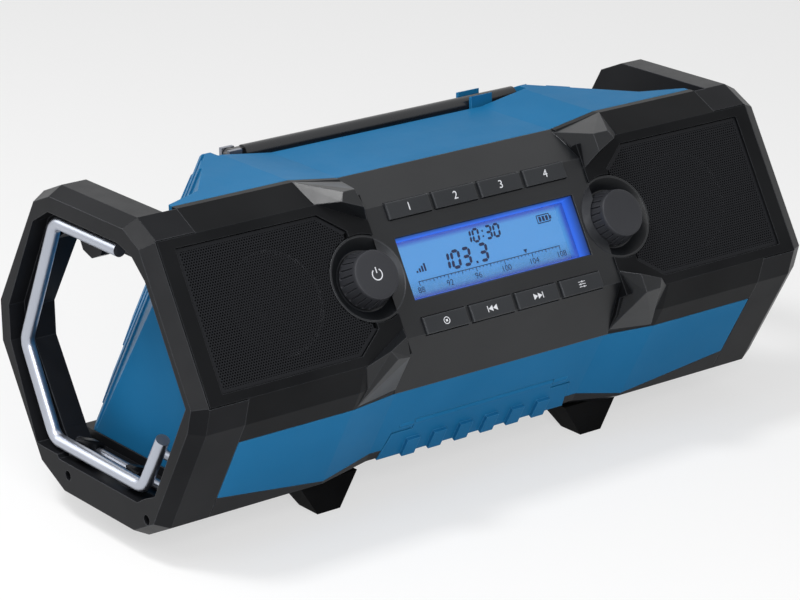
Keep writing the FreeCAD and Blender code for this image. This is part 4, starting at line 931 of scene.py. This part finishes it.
class RADIO_OT_finishes(bpy.types.Operator):
    """Gives every CAD piece the finish of the real one"""
    bl_idname = "radio.finishes"
    bl_label = "Finishes"

    def execute(self, context):
        colours = context.scene.radio_sizes
        self.coat_shells(tuple(colours.black), tuple(colours.blue))
        self.coat_metal()
        self.coat_fittings()
        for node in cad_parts.values():
            only(node)
            bpy.ops.object.shade_smooth_by_angle(angle=NODE_SMOOTH)
        return {"FINISHED"}

    def coat_shells(self, black, blue):
        """The loops, the front, the base and the blue shells."""
        # Glass-filled nylon for what takes the knocks: near black, with edges that catch the light on rounded
        # normals and are painted paler, partly wear and partly a painted highlight
        coat(["left_guard", "right_guard", "base_tray", "hook_clip", "port_panel", "battery_terminals"],
             moulded("Nylon, glass filled and moulded", black, rough=0.34, gleam=0.08,
                     edge_wear_and_highlight=linear("#6a6c71")))
        # ABS sides of the front: deeper black than the loops, so that the grilles sink into it
        # Edges painted paler, partly wear and partly a painted highlight
        coat(["left_fascia", "right_fascia"],
             moulded("ABS, black, fine grain", linear("#0e0f11"), rough=0.36, gleam=0.06,
                     edge_wear_and_highlight=linear("#4c4e52")))
        # ABS middle of the front: glossier, so that the facets of its corner guards flash
        # Edges painted paler, partly wear and partly a painted highlight
        coat(["console_bezel"],
             moulded("ABS, black, satin", linear("#111316"), grain=0.25, rough=0.34, gleam=0.3,
                     edge_wear_and_highlight=linear("#5c5e63")))
        # Blue ABS shells: even colour, satin, edges painted a little paler, partly wear and partly a painted
        # highlight
        coat(["rear_housing", "belly_panel", "port_flap", "battery_latch"],
             moulded("ABS, blue, satin", blue, rough=0.4, shade=0.05, gleam=0.025,
                     edge_wear_and_highlight=linear("#5aa5d8")))

    def coat_metal(self):
        """The hook, the pins and screws, and the speakers' iron."""
        # Bright plating: the rod mirrors the lamps in soft streaks along its bends
        coat(["hook_rod"], drawn_steel("Steel rod, bright zinc plated", linear("#b9bec9"), 0.34))
        coat(["saddle_pin", "hook_stop_pin", "flap_pin", "guard_screws", "antenna_fork", "board_spacers",
              "key_switches", "volume_encoder", "tune_encoder"],
             drawn_steel("Steel, turned and zinc plated", linear("#8d919b"), 0.35))
        # Painted light: a pale colour, much paler than the baskets' dark steel, so that their round form
        # shows faintly through the grilles as if lit
        coat(["left_speaker_basket", "right_speaker_basket"],
             powder_coat("Steel, pressed, pale for painted light", linear("#9a9ca2")))
        # Sintered ferrite: dark, dull and slightly speckled
        coat(["left_speaker_magnet", "right_speaker_magnet"],
             moulded("Ferrite, sintered", linear("#2b2b2e"), grain=0.8, rough=0.7, bump=0.3, shade=0.3))

    def coat_fittings(self):
        """The aerial, the feet, the battery, the boards, the cones and the screen."""
        # Thin lacquer on a drawn tube: smooth, dark and glossy
        coat(["antenna_rod"],
             moulded("Brass tube, black lacquered", linear("#141518"), grain=1.5, rough=0.28))
        # Soft rubber: the blackest and dullest of the pieces
        coat(["feet"],
             moulded("Rubber, moulded", linear("#060607"), grain=0.6, rough=0.75, bump=0.1, gleam=0.04))
        # Battery case: a coarser grain and a plainer black than the loops
        coat(["battery_pack"],
             moulded("Polycarbonate, battery case", linear("#17181a"), grain=0.5, rough=0.55))
        coat(["control_board", "main_board"], solder_mask("Circuit board, solder mask", linear("#1d4a2a")))
        # Pressed paper: fibrous and quite without shine
        coat(["left_speaker_cone", "right_speaker_cone"],
             moulded("Paper pulp, pressed and dyed", linear("#2c2c2f"), grain=0.9, rough=0.8, bump=0.3))
        coat(["display_module"],
             backlit_screen("Liquid crystal, backlit", linear("#4690d2"), linear("#1f49b4")))
        coat(["display_window"], clear_cover("Polycarbonate, clear and polished"))


# Stage

FLOOR_SIZE = 12
FLOOR_UNDER = 0.2 * MM
FLOOR_WHITE = 0.6
FIBRE_SIZE = 3.3 * MM
ROOM_LIGHT = 0.24
SEEN_LIGHT = 1.0
AIM = Vector((0, 0, 0.09))
# The lamps' names, places and sizes in metres, and their power in watts
LAMPS = (
    ("key_lamp", (-0.9, -0.4, 1.4), 0.8, 6),
    ("top_lamp", (-0.75, 0.05, 1.5), 0.32, 13),
    ("front_lamp", (-0.62, -1.3, 0.78), 0.7, 11),
    ("rear_lamp", (-0.9, 1.3, 0.9), 0.9, 5),
)
PHOTO_EYE = Vector((-0.92763, AXIS_Y - 1.21915, 0.61338))
PHOTO_YAW = math.radians(37.04)
PHOTO_PITCH = math.radians(-19.13)
PHOTO_ROLL = math.radians(-0.69)
PHOTO_LENS = 140.06
PHOTO_SENSOR = 36
NEAREST = 0.01


class RADIO_OT_stage(bpy.types.Operator):
    """Sets the pale floor, the soft lamps and the camera at the photograph's view"""
    bl_idname = "radio.stage"
    bl_label = "Stage and camera"

    def execute(self, context):
        self.lay_floor()
        self.fill_room(context.scene)
        for name, place, size, power in LAMPS:
            self.hang_lamp(name, Vector(place), size, power)
        self.set_camera(context.scene)
        context.scene.view_settings.view_transform = "Standard"
        return {"FINISHED"}

    def lay_floor(self):
        """A matte white sweep under the radio."""
        bpy.ops.mesh.primitive_plane_add(size=FLOOR_SIZE, location=(0, 0, -FLOOR_UNDER))
        floor = bpy.context.object
        floor.name = "floor"
        finish, tree, shader, place = new_material("Paper sweep, matte white")
        fibre = add(tree, "ShaderNodeTexNoise", {"Scale": 1 / FIBRE_SIZE}, {"Vector": place})
        gloss = add(tree, "ShaderNodeMapRange", {"To Min": 0.85, "To Max": 0.95},
                    {"Value": fibre.outputs["Fac"]})
        tree.links.new(gloss.outputs["Result"], shader.inputs["Roughness"])
        shader.inputs["Base Color"].default_value = shaded(linear("#f2f2f2"))
        shader.inputs["Specular IOR Level"].default_value = 0.1
        self.show_white(tree, shader, FLOOR_WHITE)
        floor.data.materials.append(finish)

    def fill_room(self, scene):
        """A white room that gives the radio a softer light than the camera sees."""
        world = scene.world or bpy.data.worlds.new("World")
        scene.world = world
        world.use_nodes = True
        tree = world.node_tree
        tree.nodes.clear()
        soft = add(tree, "ShaderNodeBackground", {"Color": (1, 1, 1, 1), "Strength": ROOM_LIGHT})
        white = add(tree, "ShaderNodeBackground", {"Color": (1, 1, 1, 1), "Strength": SEEN_LIGHT})
        mix = add(tree, "ShaderNodeMixShader", links={"Fac": self.seen_directly(tree),
                                                      1: soft.outputs["Background"],
                                                      2: white.outputs["Background"]})
        add(tree, "ShaderNodeOutputWorld", links={"Surface": mix.outputs["Shader"]})

    def seen_directly(self, tree):
        """1 for what the camera sees, straight or by reflection and through glass, and 0 for light."""
        path = add(tree, "ShaderNodeLightPath")
        straight = add(tree, "ShaderNodeMath", {"operation": "MAXIMUM"},
                       {0: path.outputs["Is Camera Ray"], 1: path.outputs["Is Transmission Ray"]})
        glossy = add(tree, "ShaderNodeMath", {"operation": "MAXIMUM"},
                     {0: straight.outputs["Value"], 1: path.outputs["Is Glossy Ray"]})
        return glossy.outputs["Value"]

    def show_white(self, tree, shader, share):
        """Lifts a surface towards white where the camera sees it, and leaves the rest to its shadow."""
        glow = add(tree, "ShaderNodeEmission", {"Color": (1, 1, 1, 1), "Strength": SEEN_LIGHT})
        lift = add(tree, "ShaderNodeMath", {"operation": "MULTIPLY", 1: share}, {0: self.seen_directly(tree)})
        mix = add(tree, "ShaderNodeMixShader", links={"Fac": lift.outputs["Value"],
                                                      1: shader.outputs["BSDF"],
                                                      2: glow.outputs["Emission"]})
        tree.links.new(mix.outputs["Shader"], tree.nodes["Material Output"].inputs["Surface"])

    def hang_lamp(self, name, place, size, power):
        """A soft box aimed at the radio's middle."""
        bpy.ops.object.light_add(type="AREA", location=place)
        lamp = bpy.context.object
        lamp.name = name
        lamp.data.size = size
        lamp.data.energy = power
        lamp.rotation_euler = (AIM - place).to_track_quat("-Z", "Y").to_euler()

    def set_camera(self, scene):
        """The photograph's view: where it was taken from, which way it looks and how it is rolled."""
        lens = bpy.data.cameras.new("photo_camera")
        lens.sensor_width = PHOTO_SENSOR
        lens.lens = PHOTO_LENS
        lens.clip_start = NEAREST
        camera = bpy.data.objects.new("photo_camera", lens)
        scene.collection.objects.link(camera)
        level = math.cos(PHOTO_PITCH)
        ahead = Vector((math.sin(PHOTO_YAW) * level, math.cos(PHOTO_YAW) * level, math.sin(PHOTO_PITCH)))
        right = Vector((math.cos(PHOTO_YAW), -math.sin(PHOTO_YAW), 0))
        up = right.cross(ahead)
        turned_right = math.cos(PHOTO_ROLL) * right + math.sin(PHOTO_ROLL) * up
        turned_up = -math.sin(PHOTO_ROLL) * right + math.cos(PHOTO_ROLL) * up
        facing = Matrix((turned_right, turned_up, -ahead)).transposed()
        camera.matrix_world = Matrix.Translation(PHOTO_EYE) @ facing.to_4x4()
        scene.camera = camera


# What a user can change, the sidebar and the run

class RadioSizes(bpy.types.PropertyGroup):
    """Sizes and colours of the radio's fine pieces."""
    grille_pitch: bpy.props.FloatProperty(
        name="Hole pitch", description="Distance between the grille's holes",
        default=1.45 * MM, min=1 * MM, unit="LENGTH", precision=4)
    grille_hole: bpy.props.FloatProperty(
        name="Hole size", description="Width of each hole of the grille",
        default=0.85 * MM, min=0.5 * MM, unit="LENGTH", precision=4)
    grille_margin: bpy.props.FloatProperty(
        name="Edge", description="Width of the grille's plain edge",
        default=1.6 * MM, min=0.5 * MM, unit="LENGTH", precision=4)
    print_height: bpy.props.FloatProperty(
        name="Figure height", description="Height of the figures on the keys",
        default=4.2 * MM, min=1 * MM, unit="LENGTH", precision=4)
    black: bpy.props.FloatVectorProperty(
        name="Black", description="Colour of the black mouldings",
        default=linear("#121316"), subtype="COLOR", size=3)
    blue: bpy.props.FloatVectorProperty(
        name="Blue", description="Colour of the blue shells",
        default=linear("#1b6998"), subtype="COLOR", size=3)


class RADIO_PT_panel(bpy.types.Panel):
    """Sidebar panel that lists the radio's sizes and steps."""
    bl_label = "Jobsite radio"
    bl_idname = "RADIO_PT_panel"
    bl_space_type = "VIEW_3D"
    bl_region_type = "UI"
    bl_category = "Radio"

    def draw(self, context):
        sizes = context.scene.radio_sizes
        for word in ("grille_pitch", "grille_hole", "grille_margin", "print_height", "black", "blue"):
            self.layout.prop(sizes, word)
        for step in STEPS:
            self.layout.operator(step.bl_idname)


STEPS = (RADIO_OT_stage, RADIO_OT_finishes, RADIO_OT_grilles, RADIO_OT_saddles, RADIO_OT_knobs, RADIO_OT_keys,
         RADIO_OT_prints, RADIO_OT_screen)
CLASSES = (RadioSizes, *STEPS, RADIO_PT_panel)


def register():
    """Registers the classes and the scene's sizes."""
    for each in CLASSES:
        bpy.utils.register_class(each)
    bpy.types.Scene.radio_sizes = bpy.props.PointerProperty(type=RadioSizes)


def unregister():
    """Takes the classes and the sizes away again."""
    del bpy.types.Scene.radio_sizes
    for each in reversed(CLASSES):
        bpy.utils.unregister_class(each)


def main():
    """Makes the radio's pieces and its stage."""
    register()
    bpy.ops.radio.stage()
    bpy.ops.radio.finishes()
    bpy.ops.radio.grilles()
    bpy.ops.radio.saddles()
    bpy.ops.radio.knobs()
    bpy.ops.radio.keys()
    bpy.ops.radio.prints()
    bpy.ops.radio.screen()


if __name__ == "__main__":
    main()
